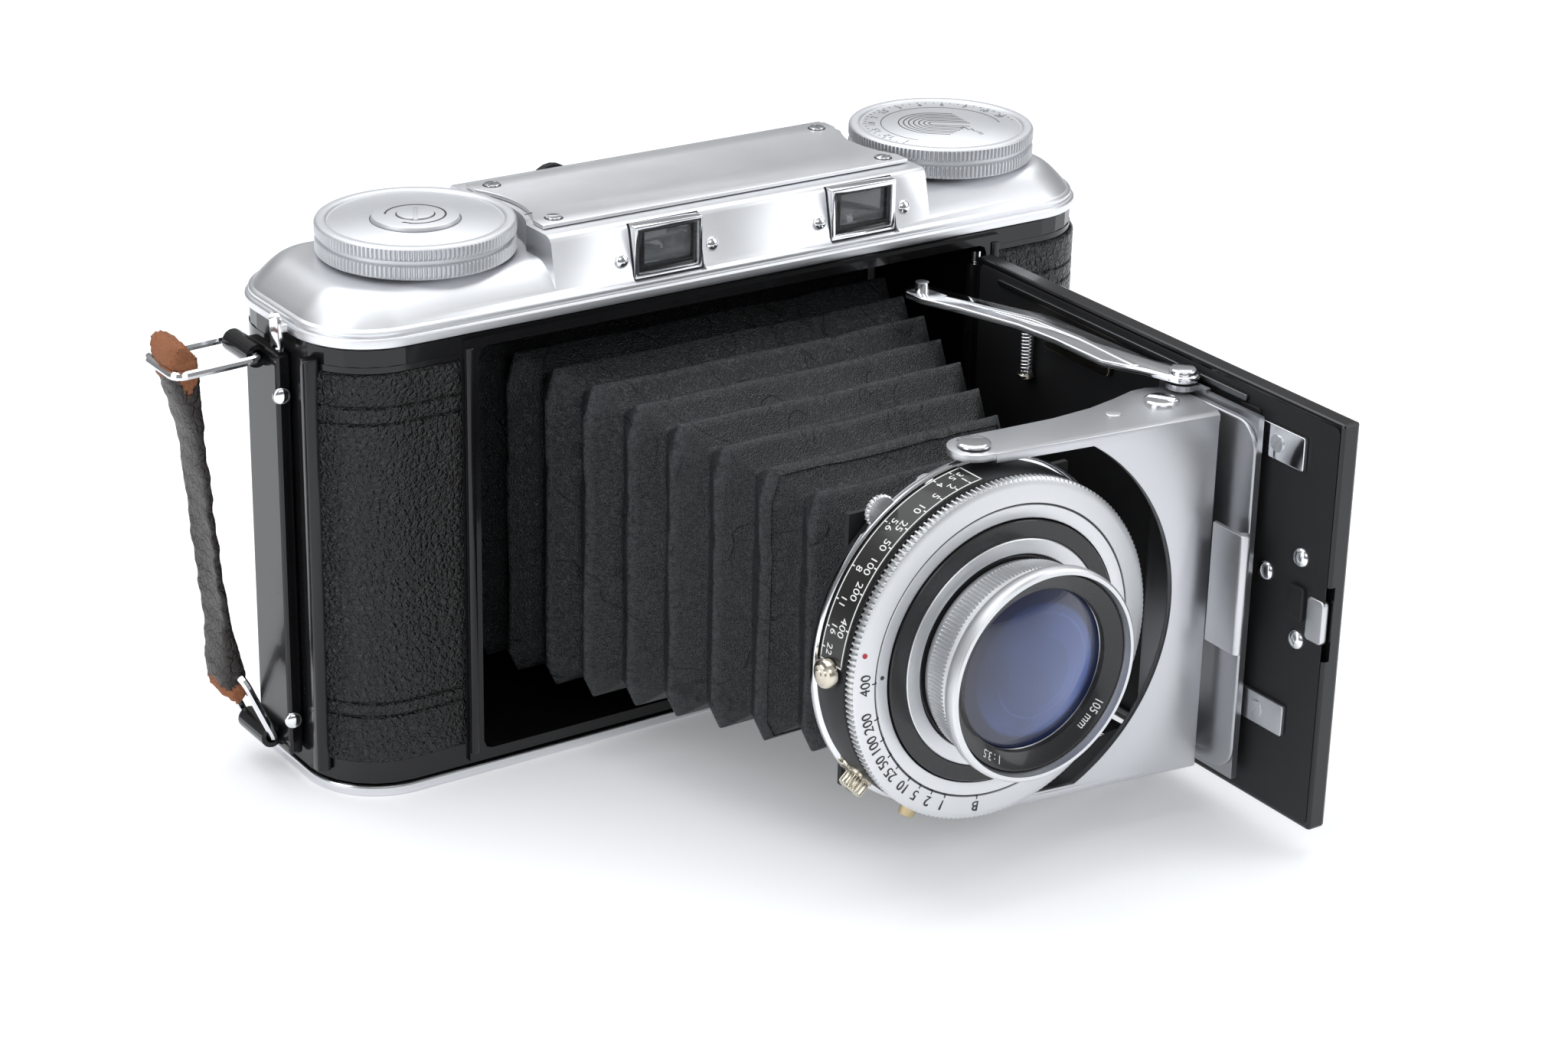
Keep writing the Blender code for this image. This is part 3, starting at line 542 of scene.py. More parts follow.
COVER_CHROME = Metal("cover_chrome", Slot.SATIN_CHROME, (0.80, 0.81, 0.83), 0.40, 0.00013, (0.12, 1.0, 1.0))
SATIN_CHROME = Metal("plain_satin_chrome", Slot.SATIN_CHROME, (0.66, 0.67, 0.69), 0.36)
RIM_CHROME = Metal("rim_chrome", Slot.BRIGHT_CHROME, (0.78, 0.79, 0.81), 0.20, cloud=0.02)
POLISHED = Metal(
    "polished_chrome", Slot.BRIGHT_CHROME, (0.84, 0.85, 0.87), 0.10, relief=0.0000004, cloud=0.01
)
KNOB_ALUMINIUM = Metal("knob_aluminium", Slot.SATIN_ALUMINIUM, (0.70, 0.71, 0.73), 0.52, 0.00011)
RING_ALUMINIUM = Metal("ring_aluminium", Slot.SATIN_ALUMINIUM, (0.72, 0.73, 0.745), 0.40, 0.00010)
BRACKET_SATIN = Metal("bracket_satin", Slot.SATIN_ALUMINIUM, (0.60, 0.61, 0.63), 0.38, 0.00012)
CARRIAGE_SATIN = Metal("carriage_satin", Slot.SATIN_CHROME, (0.46, 0.47, 0.49), 0.34)
DARK_STEEL = Metal("dark_steel_plate", Slot.DARK_STEEL, (0.16, 0.165, 0.17), 0.34)
NICKEL = Metal("aged_nickel", Slot.NICKEL, (0.72, 0.67, 0.56), 0.22, cloud=0.09)
BRASS = Metal("worn_brass", Slot.NICKEL, (0.62, 0.50, 0.30), 0.35, cloud=0.09)
GLOSS_ENAMEL = Enamel("gloss_black_enamel", Slot.BLACK_ENAMEL, (0.0035, 0.0035, 0.004), 0.20, 0.3)
PLATE_ENAMEL = Enamel("dial_black_enamel", Slot.BLACK_ENAMEL, (0.012, 0.0115, 0.011), 0.30, 0.3)
BAND_ENAMEL = Enamel("band_black_enamel", Slot.BLACK_PAINT, (0.016, 0.016, 0.017), 0.26, 0.3)
DULL_PAINT = Enamel("dull_black_paint", Slot.BLACK_PAINT, (0.010, 0.010, 0.011), 0.52, 0.0)
GRAIN_LEATHER = Leather("pebbled_leather", Slot.LEATHER)
BELLOWS_LEATHER = PleatedLeather("pleated_leather", Slot.BELLOWS_LEATHER)
STRAP_HIDE = StrapHide("strap_hide", Slot.STRAP_LEATHER)
WINDOW_GLASS = TintedGlass("window_glass", Slot.FINDER_GLASS, (0.62, 0.64, 0.66), 0.85)
RED_GLASS = TintedGlass("red_glass_disc", Slot.RED_GLASS, (0.5, 0.015, 0.012), 0.6)
# Both lens finishes: the first colour is the coating, the second the lighter painted reflection on it.
LENS_GLASS = LensWithPaintedReflection(
    "lens_glass", Slot.COATED_GLASS, (0.003, 0.007, 0.036), (0.050, 0.095, 0.31), (0.0, 0.0, AXIS_Z), 13.5
)
INNER_COATING_AND_REFLECTION = LensWithPaintedReflection(
    "inner_coating_and_reflection", Slot.COATED_GLASS, (0.004, 0.011, 0.060), (0.075, 0.125, 0.36), (0.0, 0.0, AXIS_Z), 13.0
)
MIRROR_GLASS = Enamel("window_mirror", Slot.FINDER_GLASS, (0.085, 0.088, 0.092), 0.08, 0.8)
BLUE_MOUNT = Enamel("blue_black_mount", Slot.BLACK_PAINT, (0.014, 0.022, 0.055), 0.22, 0.5)
# The black and grey mark paints also serve as painted shade round screw heads and the winding cap.
BLACK_MARKS_AND_SHADE = MarkPaint("black_marks_and_shade", Slot.BLACK_PAINT, (0.018, 0.018, 0.02))
GROOVE_SHADE_GREY = MarkPaint("groove_shade_grey", Slot.BLACK_PAINT, (0.10, 0.10, 0.11))
WHITE_MARKS = MarkPaint("white_marks", Slot.SATIN_CHROME, (0.80, 0.80, 0.78))
RED_MARKS = MarkPaint("red_marks", Slot.RED_GLASS, (0.48, 0.02, 0.03))


class Form:
    """Corners and faces of one mesh, in drawing millimetres."""

    def __init__(self, points: Iterable[Point] = (), faces: Iterable[Sequence[int]] = ()) -> None:
        """Start a form from corners and faces."""
        self.points = [tuple(point) for point in points]
        self.faces = [tuple(face) for face in faces]

    def join(self, *others: "Form") -> "Form":
        """Add other forms to this one and return it."""
        for other in others:
            start = len(self.points)
            self.points += other.points
            self.faces += [tuple(start + corner for corner in face) for face in other.faces]
        return self

    def mapped(self, place: Callable[[Point], Point]) -> "Form":
        """The same faces with every corner moved by a function."""
        return Form([tuple(place(point)) for point in self.points], self.faces)

    def moved(self, x: float, y: float, z: float) -> "Form":
        """The same form moved along each axis."""
        return self.mapped(lambda point: (point[0] + x, point[1] + y, point[2] + z))

    def aimed(self, direction: Point, centre: Point, roll: float = 0.0) -> "Form":
        """The form turned from facing up to facing a direction, at a point.

        Args:
            direction: where its top looks.
            centre: where its origin goes.
            roll: turn about its own axis first, in degrees.

        Returns:
            The turned form.
        """
        spin = Matrix.Rotation(math.radians(roll), 3, "Z")
        turn = Vector(direction).to_track_quat("Z", "Y").to_matrix() @ spin
        return self.mapped(lambda point: tuple(turn @ Vector(point) + Vector(centre)))

    def item(self, name: str, values: dict[str, Sequence[float]] | None = None) -> bpy.types.Object:
        """Make a plain item of the form, with touching corners joined.

        Args:
            name: the item's name.
            values: values painted on its corners, by name.

        Returns:
            The item, without a finish.
        """
        mesh = bpy.data.meshes.new(name)
        mesh.from_pydata([(x * UNIT, y * UNIT, z * UNIT) for x, y, z in self.points], [], self.faces)
        for title, numbers in (values or {}).items():
            layer = mesh.attributes.new(title, "FLOAT", "POINT")
            layer.data.foreach_set("value", np.array(numbers, np.float32))
        work = bmesh.new()
        work.from_mesh(mesh)
        bmesh.ops.remove_doubles(work, verts=work.verts, dist=WELD)
        bmesh.ops.recalc_face_normals(work, faces=work.faces)
        work.to_mesh(mesh)
        work.free()
        item = bpy.data.objects.new(name, mesh)
        bpy.context.scene.collection.objects.link(item)
        return item

    def piece(
        self, name: str, finish: Finish, body: str, replaces: Sequence[str] = (),
        bevel: float = 0.0, crease: float = 38.0, values: dict[str, Sequence[float]] | None = None,
    ) -> bpy.types.Object:
        """Make the mesh, dress it and let it ride on a body.

        Args:
            name: the piece's name.
            finish: its finish.
            body: the body that it moves with.
            replaces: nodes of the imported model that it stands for.
            bevel: width of its rounded edges.
            crease: angle in degrees above which an edge stays sharp.
            values: values painted on its corners, by name.

        Returns:
            The piece.
        """
        item = self.item(name, values)
        smooth_over(item, bevel, crease, segments=3)
        return dress(item, finish, body, replaces)


def settle(item: bpy.types.Object) -> None:
    """Apply an item's modifiers to its mesh."""
    bpy.context.view_layer.update()
    depsgraph = bpy.context.evaluated_depsgraph_get()
    mesh = bpy.data.meshes.new_from_object(item.evaluated_get(depsgraph), depsgraph=depsgraph)
    item.modifiers.clear()
    item.data = mesh


def dress(
    item: bpy.types.Object, finish: Finish, body: str, replaces: Sequence[str] = ()
) -> bpy.types.Object:
    """Give an item its finish and body, and report it.

    Args:
        item: the piece.
        finish: its finish.
        body: the body that it moves with.
        replaces: nodes that it stands for.

    Returns:
        The piece.
    """
    item.data.materials.clear()
    item.data.materials.append(finish.material())
    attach(item, body)
    if replaces:
        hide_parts(*replaces)
    LOG.info("%s on %s: %d faces", item.name, body, len(item.data.polygons))
    return item


def finish_nodes(finishes: dict[str, Finish]) -> None:
    """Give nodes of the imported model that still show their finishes."""
    for node, finish in finishes.items():
        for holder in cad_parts[node].material_slots:
            holder.material = finish.material()
        LOG.info("%s keeps its shape, in %s", node, finish.name)


def arc(centre: Flat, radius: float, start: float, end: float, steps: int) -> list[Flat]:
    """Points on an arc.

    Args:
        centre: its centre.
        radius: its radius.
        start: first angle in degrees.
        end: last angle.
        steps: number of steps between them.

    Returns:
        The points.
    """
    angles = [math.radians(start + (end - start) * i / steps) for i in range(steps + 1)]
    return [(centre[0] + radius * math.cos(a), centre[1] + radius * math.sin(a)) for a in angles]


def skin(rows: int, count: int, looped: bool = False) -> list[tuple[int, ...]]:
    """Faces between rings of corners.

    Args:
        rows: number of rings.
        count: number of corners in each ring.
        looped: whether the last ring joins the first.

    Returns:
        The faces, ring by ring.
    """
    faces = []
    for row in range(rows if looped else rows - 1):
        here, there = row * count, (row + 1) % rows * count
        for i in range(count):
            j = (i + 1) % count
            faces.append((here + i, here + j, there + j, there + i))
    return faces


def ends(rows: int, count: int) -> list[tuple[int, ...]]:
    """Faces that close the first and the last ring."""
    return [tuple(range(count)), tuple(range((rows - 1) * count, rows * count))]


def rectangle(
    left: float, right: float, low: float, high: float, radius: float = 0.0, steps: int = 6
) -> list[Flat]:
    """Outline of a rectangle, with round corners if it has a radius."""
    if radius <= 0.0:
        return [(left, low), (right, low), (right, high), (left, high)]
    points = arc((right - radius, low + radius), radius, -90.0, 0.0, steps)
    points += arc((right - radius, high - radius), radius, 0.0, 90.0, steps)
    points += arc((left + radius, high - radius), radius, 90.0, 180.0, steps)
    return points + arc((left + radius, low + radius), radius, 180.0, 270.0, steps)


def prism(outline: Sequence[Flat], low: float, high: float, plane: Plane = Plane.XY) -> Form:
    """Extrude an outline between two levels."""
    count = len(outline)
    points = [plane.place(*corner, level) for level in (low, high) for corner in outline]
    return Form(points, ends(2, count) + skin(2, count))


def block(low: Point, high: Point) -> Form:
    """A block between two opposite corners."""
    return prism(rectangle(low[0], high[0], low[1], high[1]), low[2], high[2])


def turned(
    profile: Sequence[Sequence[float]], axis: Axis = Axis.UP, centre: Point = (0.0, 0.0, 0.0),
    steps: int = 96, teeth: int = 0,
) -> Form:
    """Turn a profile round an axis.

    Args:
        profile: rows of radius, height and, where it is knurled, the depth of the teeth.
        axis: where it faces.
        centre: point that its axis runs through.
        steps: number of steps round it, when it has no teeth.
        teeth: number of teeth.

    Returns:
        A closed form. A profile that starts off the axis makes a ring.
    """
    steps = teeth * TOOTH_STEPS if teeth else steps
    points = []
    for radius, height, *tooth in profile:
        for i in range(steps):
            notch = tooth[0] if tooth and i % TOOTH_STEPS >= TOOTH_STEPS // 2 else 0.0
            x, y, z = axis.place(radius - notch, math.tau * i / steps, height)
            points.append((x + centre[0], y + centre[1], z + centre[2]))
    off_axis = profile[0][0] > 1e-6
    return Form(points, skin(len(profile), steps, off_axis))


def shell(outer: Sequence[Sequence[Point]], inner: Sequence[Sequence[Point]]) -> Form:
    """Close two grids of the same size into one skin with a thickness."""
    rows, columns = len(outer), len(outer[0])
    points = [point for row in outer for point in row] + [point for row in inner for point in row]
    half = rows * columns
    faces = []
    for i in range(rows - 1):
        for j in range(columns - 1):
            a = i * columns + j
            quad = (a, a + 1, a + columns + 1, a + columns)
            faces += [quad, tuple(half + corner for corner in reversed(quad))]
    rim = [*range(columns), *(i * columns + columns - 1 for i in range(1, rows))]
    rim += [(rows - 1) * columns + j for j in range(columns - 2, -1, -1)]
    rim += [i * columns for i in range(rows - 2, 0, -1)]
    faces += [(a, half + a, half + b, b) for a, b in zip(rim, rim[1:] + rim[:1])]
    return Form(points, faces)


def tube(path: Sequence[Point], radius: float, sides: int) -> Form:
    """A round wire along an open path that doesn't start upright."""
    line = [Vector(point) for point in path]
    last = len(line) - 1
    points = []
    normal = Vector((0.0, 0.0, 1.0))
    for i, spot in enumerate(line):
        along = (line[min(i + 1, last)] - line[max(i - 1, 0)]).normalized()
        normal = (normal - along * normal.dot(along)).normalized()
        across = along.cross(normal)
        for k in range(sides):
            turn = math.tau * k / sides
            points.append(tuple(spot + (normal * math.cos(turn) + across * math.sin(turn)) * radius))
    return Form(points, skin(len(line), sides) + ends(len(line), sides))


def rivet(radius: float, height: float) -> Form:
    """A domed rivet head that stands on the origin and looks up."""
    rows = [(0.0, height)]
    rows += [(radius * math.sin(a), height * math.cos(a) ** 0.8) for a in np.linspace(0.25, 1.35, 6)]
    return turned([*rows, (radius, 0.0), (0.0, 0.0)], steps=32)


def flat_rivet(radius: float, height: float) -> Form:
    """A flat pin end with a turned rim, looking up."""
    rows = [(0.0, height), (radius * 0.8, height), (radius * 0.93, height * 0.86), (radius, height * 0.55)]
    return turned([*rows, (radius, 0.0), (0.0, 0.0)], steps=48)


def screw_head(radius: float, height: float, slot: float = 0.45) -> Form:
    """A slotted screw head that stands on the origin and looks up, with its slot along x."""
    floor = height * 0.4
    form = turned([(0.0, floor), (radius, floor), (radius, 0.0), (0.0, 0.0)], steps=40)
    reach = math.degrees(math.asin(slot / (2.0 * radius)))
    for start in (reach, 180.0 + reach):
        outer = arc((0.0, 0.0), radius, start, start + 180.0 - 2.0 * reach, 18)
        form.join(prism(outer, floor - 0.02, height))
    return form


def stroke(path: Sequence[Flat], width: float, low: float, high: float, closed: bool = False) -> Form:
    """A flat line of even width along a path in the XY plane, standing between two levels."""
    line = [Vector((*point, 0.0)) for point in path]
    count = len(line)
    points, faces = [], []
    for i, spot in enumerate(line):
        before = line[i - 1] if i or closed else spot
        after = line[(i + 1) % count] if i < count - 1 or closed else spot
        along = (after - before).normalized()
        side = Vector((-along.y, along.x, 0.0)) * width * 0.5
        for level in (low, high):
            for sign in (1.0, -1.0):
                corner = spot + side * sign
                points.append((corner.x, corner.y, level))
    for i in range(count if closed else count - 1):
        a, b = 4 * i, 4 * ((i + 1) % count)
        faces += [(a, b, b + 1, a + 1), (a + 2, a + 3, b + 3, b + 2)]
        faces += [(a, a + 2, b + 2, b), (a + 1, b + 1, b + 3, a + 3)]
    if not closed:
        end = 4 * (count - 1)
        faces += [(0, 1, 3, 2), (end, end + 2, end + 3, end + 1)]
    return Form(points, faces)


@dataclass(frozen=True)
class Mark:
    """One engraved number or letter and where it goes."""

    text: str
    size: float
    place: Callable[[Point], Point]

    def form(self, depth: float) -> Form:
        """Letters of an even depth, mapped to their place."""
        drawn = bpy.data.curves.new("mark", "FONT")
        drawn.body = self.text
        drawn.size = self.size
        drawn.align_x = "CENTER"
        drawn.align_y = "CENTER"
        drawn.extrude = depth / 2.0
        drawn.resolution_u = 4
        holder = bpy.data.objects.new("mark", drawn)
        bpy.context.scene.collection.objects.link(holder)
        bpy.context.view_layer.update()
        depsgraph = bpy.context.evaluated_depsgraph_get()
        mesh = bpy.data.meshes.new_from_object(holder.evaluated_get(depsgraph))
        form = Form([tuple(v.co) for v in mesh.vertices], [tuple(f.vertices) for f in mesh.polygons])
        bpy.data.objects.remove(holder)
        bpy.data.curves.remove(drawn)
        bpy.data.meshes.remove(mesh)
        return form.mapped(self.place)


def on_face(centre: Flat, radius: float, degrees: float, level: float) -> Callable[[Point], Point]:
    """Mapping that bends letters along a circle on a face that looks up, tops away from its centre.

    Args:
        centre: centre of the circle.
        radius: radius of the letters' middle.
        degrees: angle of the letters' middle.
        level: height of the face.

    Returns:
        The mapping.
    """

    def place(point: Point) -> Point:
        """Put one corner on the face."""
        angle = math.radians(degrees) - point[0] / radius
        reach = radius + point[1]
        return centre[0] + reach * math.cos(angle), centre[1] + reach * math.sin(angle), level + point[2]

    return place


def faced_front(point: Point) -> Point:
    """Turn a face that looks up round the origin into one that looks forward round the lens axis."""
    return point[0], -point[2], AXIS_Z + point[1]


def body_outline(grow: float) -> list[Flat]:
    """Plan of the camera body, moved outwards by a distance."""
    across, deep = HALF_WIDTH + grow, grow - BODY_FRONT
    return rectangle(-across, across, -deep, deep, CORNER_RADIUS + grow, 18)


def loft(rings: Sequence[tuple[Sequence[Flat], float]]) -> Form:
    """Skin a stack of outlines, each at its height, and close both ends."""
    count = len(rings[0][0])
    points = [(x, y, height) for outline, height in rings for x, y in outline]
    return Form(points, ends(len(rings), count) + skin(len(rings), count))


def carve(item: bpy.types.Object, cutters: Sequence[Form], operation: str = "DIFFERENCE") -> None:
    """Cut forms out of an item's mesh, or join them on.

    Args:
        item: the item.
        cutters: forms, in drawing millimetres.
        operation: what the boolean step does.
    """
    helpers = []
    for cutter in cutters:
        helper = cutter.item("cutter")
        helpers.append(helper)
        step = item.modifiers.new("carve", "BOOLEAN")
        step.operation = operation
        step.solver = "EXACT"
        step.object = helper
    settle(item)
    for helper in helpers:
        bpy.data.objects.remove(helper)


def smooth_over(
    item: bpy.types.Object, width: float = 0.0, crease: float = 30.0, angle: float = 34.0, segments: int = 2
) -> None:
    """Round an item's sharp edges and shade it smooth between them.

    Args:
        item: the item.
        width: width of the rounding, or 0 for none.
        crease: angle in degrees above which an edge still shows.
        angle: angle above which an edge is rounded.
        segments: number of steps across the rounding.
    """
    if width > 0.0:
        rounding = item.modifiers.new("rounding", "BEVEL")
        rounding.width = width * UNIT
        rounding.segments = segments
        rounding.limit_method = "ANGLE"
        rounding.angle_limit = math.radians(angle)
        settle(item)
    item.data.shade_smooth()
    item.data.set_sharp_from_angle(angle=math.radians(crease))


@dataclass(frozen=True)
class Housing:
    """Top cover with its windows, the plate on it, the base and the body shell."""

    windows: tuple[Flat, Flat] = ((-20.6, -7.2), (19.2, 32.7))
    rivets: tuple[float, ...] = (-22.7, -4.9, 17.1, 34.9)
    screws: tuple[Flat, ...] = ((-31.2, 10.3), (-31.2, -10.3), (35.8, 10.3), (35.8, -10.3))
    plate_top: float = 93.1
    window_low: float = 82.9
    window_high: float = 92.0

    def build(self) -> None:
        """Build the body's fixed outer pieces."""
        self.cover()
        self.plate()
        self.frames()
        self.base()
        self.trim()
        self.corner_bands()
        finish_nodes({
            "body_shell": GLOSS_ENAMEL, "tripod_socket": NICKEL, "eyepiece": DULL_PAINT,
            "bed_hinge_pin": POLISHED, "back_hinge_pin": POLISHED,
        })

    @staticmethod
    def corner_bands() -> None:
        """Build the smooth enamel bands above and below the leather at the round ends."""
        beside_bay = 54.4
        heights = {"lower": (3.0, 6.6), "upper": (72.3, 76.7)}
        for side, name in ((-1.0, "left"), (1.0, "right")):
            for level, (low, high) in heights.items():
                rings = []
                for grow in (0.07, -0.5):
                    ring = [point for point in body_outline(grow) if point[0] * side > 60.0]
                    depth = side * (grow - BODY_FRONT)
                    rings.append([(beside_bay * side, -depth), *ring, (beside_bay * side, depth)])
                grids = [[[(x, y, z) for x, y in ring] for z in (low, high)] for ring in rings]
                shell(*grids).piece(f"body_band_{level}_{name}", GLOSS_ENAMEL, "body")

    @staticmethod
    def housing_outline(front: float, inset: float, steps: int = 24) -> list[Flat]:
        """Plan of the raised housing, whose ends follow the knobs."""
        reach = 18.2 + inset
        across = reach * math.cos(math.radians(30.0))
        left, right = KNOB_LEFT + across, KNOB_RIGHT - across
        points = [(left, -front), (right, -front)]
        points += arc((KNOB_RIGHT, 0.0), reach, 210.0, 150.0, steps)
        points += [(right, front), (left, front)]
        return points + arc((KNOB_LEFT, 0.0), reach, 30.0, -30.0, steps)

    def cover(self) -> None:
        """Build the stepped cover with its beads, shoulder, housing and window pockets."""
        levels = (
            (0.30, 79.9), (0.55, 80.1), (0.62, 80.7), (0.58, 81.3), (0.34, 81.6), (-0.12, 81.68),
            (-0.22, 81.8), (-0.02, 82.0), (-0.04, 82.5), (-0.34, 82.82), (-0.75, 82.95), (-1.0, 83.3),
            (-1.7, 84.1), (-2.6, 85.05), (-3.6, 86.0), (-4.6, 86.8), (-5.6, 87.35), (-6.6, 87.62),
            (-7.6, 87.7),
        )
        item = loft([(body_outline(grow), height) for grow, height in levels]).piece(
            "cover_shell", COVER_CHROME, "body", ["top_cover"]
        )
        sections = ((19.0, 82.9), (18.75, 83.5), (17.0, 91.3), (16.65, 91.9), (16.1, 92.25), (15.5, 92.3))
        raised = loft([(self.housing_outline(front, 0.0), height) for front, height in sections])
        carve(item, [raised, prism(rectangle(-79.4, -75.0, -5.4, -2.8), 80.2, 81.4)], "UNION")
        cutters = [prism(body_outline(-1.9), 79.0, 82.6)]
        for left, right in self.windows:
            cutters.append(block((left - 0.3, -24.0, 82.6), (right + 0.3, -14.9, 92.05)))
        shaft_hole = ((0.0, 88.4), (3.4, 88.4), (3.4, 82.0), (0.0, 82.0))
        cutters += [turned(shaft_hole, centre=(x, 0.0, 0.0), steps=32) for x in (KNOB_LEFT, KNOB_RIGHT)]
        carve(item, cutters)
        smooth_over(item, 0.14, 32.0, 40.0)
        for number, x in enumerate(self.rivets):
            rivet(1.25, 0.75).aimed((0.0, -0.976, 0.22), (x, -18.05, 86.4)).piece(
                f"housing_rivet_{number}", POLISHED, "body"
            )

    def plate(self) -> None:
        """Build the plate on the housing, with its screws, the painted shade round them and index marks."""
        prism(self.housing_outline(13.0, 1.1, 30), 92.42, self.plate_top).piece(
            "housing_plate", COVER_CHROME, "body", ["top_plate"], bevel=0.16
        )
        turns = (35.0, -20.0, 70.0, 15.0)
        for number, ((x, y), turn) in enumerate(zip(self.screws, turns)):
            # A thin black disc under each screw, wider than its head: painted shade of the recess round the
            # screw.
            turned([(0.0, 0.06), (1.55, 0.06), (1.62, 0.0), (0.0, 0.0)], centre=(x, y, self.plate_top)).piece(
                f"plate_screw_painted_shade_{number}", BLACK_MARKS_AND_SHADE, "body"
            )
            screw_head(1.35, 0.32).aimed((0.0, 0.0, 1.0), (x, y, self.plate_top + 0.02), turn).piece(
                f"plate_screw_{number}", POLISHED, "body", bevel=0.05
            )
        marks = Form()
        for x, sign in ((-33.6, 1.0), (38.2, -1.0)):
            tip = [(x - 1.0 * sign, -6.6), (x + 0.7 * sign, -6.2)]
            marks.join(stroke(tip, 0.28, self.plate_top, self.plate_top + 0.03))
        marks.piece("plate_index_marks", BLACK_MARKS_AND_SHADE, "body")

    def frames(self) -> None:
        """Build the two window frames with their black masks, panes and mirrors."""
        low, high = self.window_low, self.window_high
        for name, (left, right) in zip(("finder", "ranging"), self.windows):
            outer = rectangle(left, right, low, high, 0.25, 2)
            item = prism(outer, -18.7, -15.3, Plane.XZ).piece(
                f"{name}_window_frame", POLISHED, "body", [f"{name}_frame"]
            )
            opening = rectangle(left + 0.95, right - 0.95, low + 0.95, high - 0.95)
            carve(item, [prism(opening, -22.0, -10.0, Plane.XZ)])
            smooth_over(item, 0.12)
            edge = rectangle(left + 0.98, right - 0.98, low + 0.98, high - 0.98)
            mask = prism(edge, -18.1, -15.0, Plane.XZ).piece(f"{name}_window_mask", BAND_ENAMEL, "body")
            hole = rectangle(left + 2.3, right - 1.5, low + 1.9, high - 1.4)
            carve(mask, [prism(hole, -19.0, -15.4, Plane.XZ)])
            smooth_over(mask, 0.1)
            pane = rectangle(left + 1.6, right - 1.2, low + 1.4, high - 1.2)
            prism(pane, -17.35, -17.15, Plane.XZ).piece(
                f"{name}_window_pane", WINDOW_GLASS, "body", [f"{name}_glass"], bevel=0.05
            )
            back = prism(hole, -15.55, -15.42, Plane.XZ).piece(f"{name}_window_mirror", MIRROR_GLASS, "body")
            smooth_over(back)

    def base(self) -> None:
        """Build the base plate with its rounded bead."""
        levels = ((0.1, 0.0), (0.45, 0.12), (0.6, 0.45), (0.6, 1.5), (0.45, 1.8), (0.15, 1.9))
        item = loft([(body_outline(grow), height) for grow, height in levels]).piece(
            "base_bead", RIM_CHROME, "body", ["base_plate"]
        )
        socket_hole = ((0.0, 5.0), (5.3, 5.0), (5.3, -3.0), (0.0, -3.0))
        carve(item, [turned(socket_hole, centre=(24.0, 0.0, 0.0), steps=48)])
        smooth_over(item)

    @staticmethod
    def trim() -> None:
        """Build the raised strip at the body's end and the beads beside the bay."""
        prism(rectangle(-78.9, -76.4, -13.1, -10.7, 0.5, 3), 4.0, 77.6).piece(
            "end_strip", GLOSS_ENAMEL, "body", bevel=0.2
        )
        for name, x in (("left", -53.3), ("right", 53.3)):
            prism(rectangle(x - 0.75, x + 0.75, -21.35, -20.3, 0.4, 3), 4.4, 77.6).piece(
                f"bay_edge_{name}", GLOSS_ENAMEL, "body", bevel=0.15
            )


class KnobTop(Enum):
    """What the top of a knob shows."""

    WINDING = "winding"
    FOCUS = "focus"


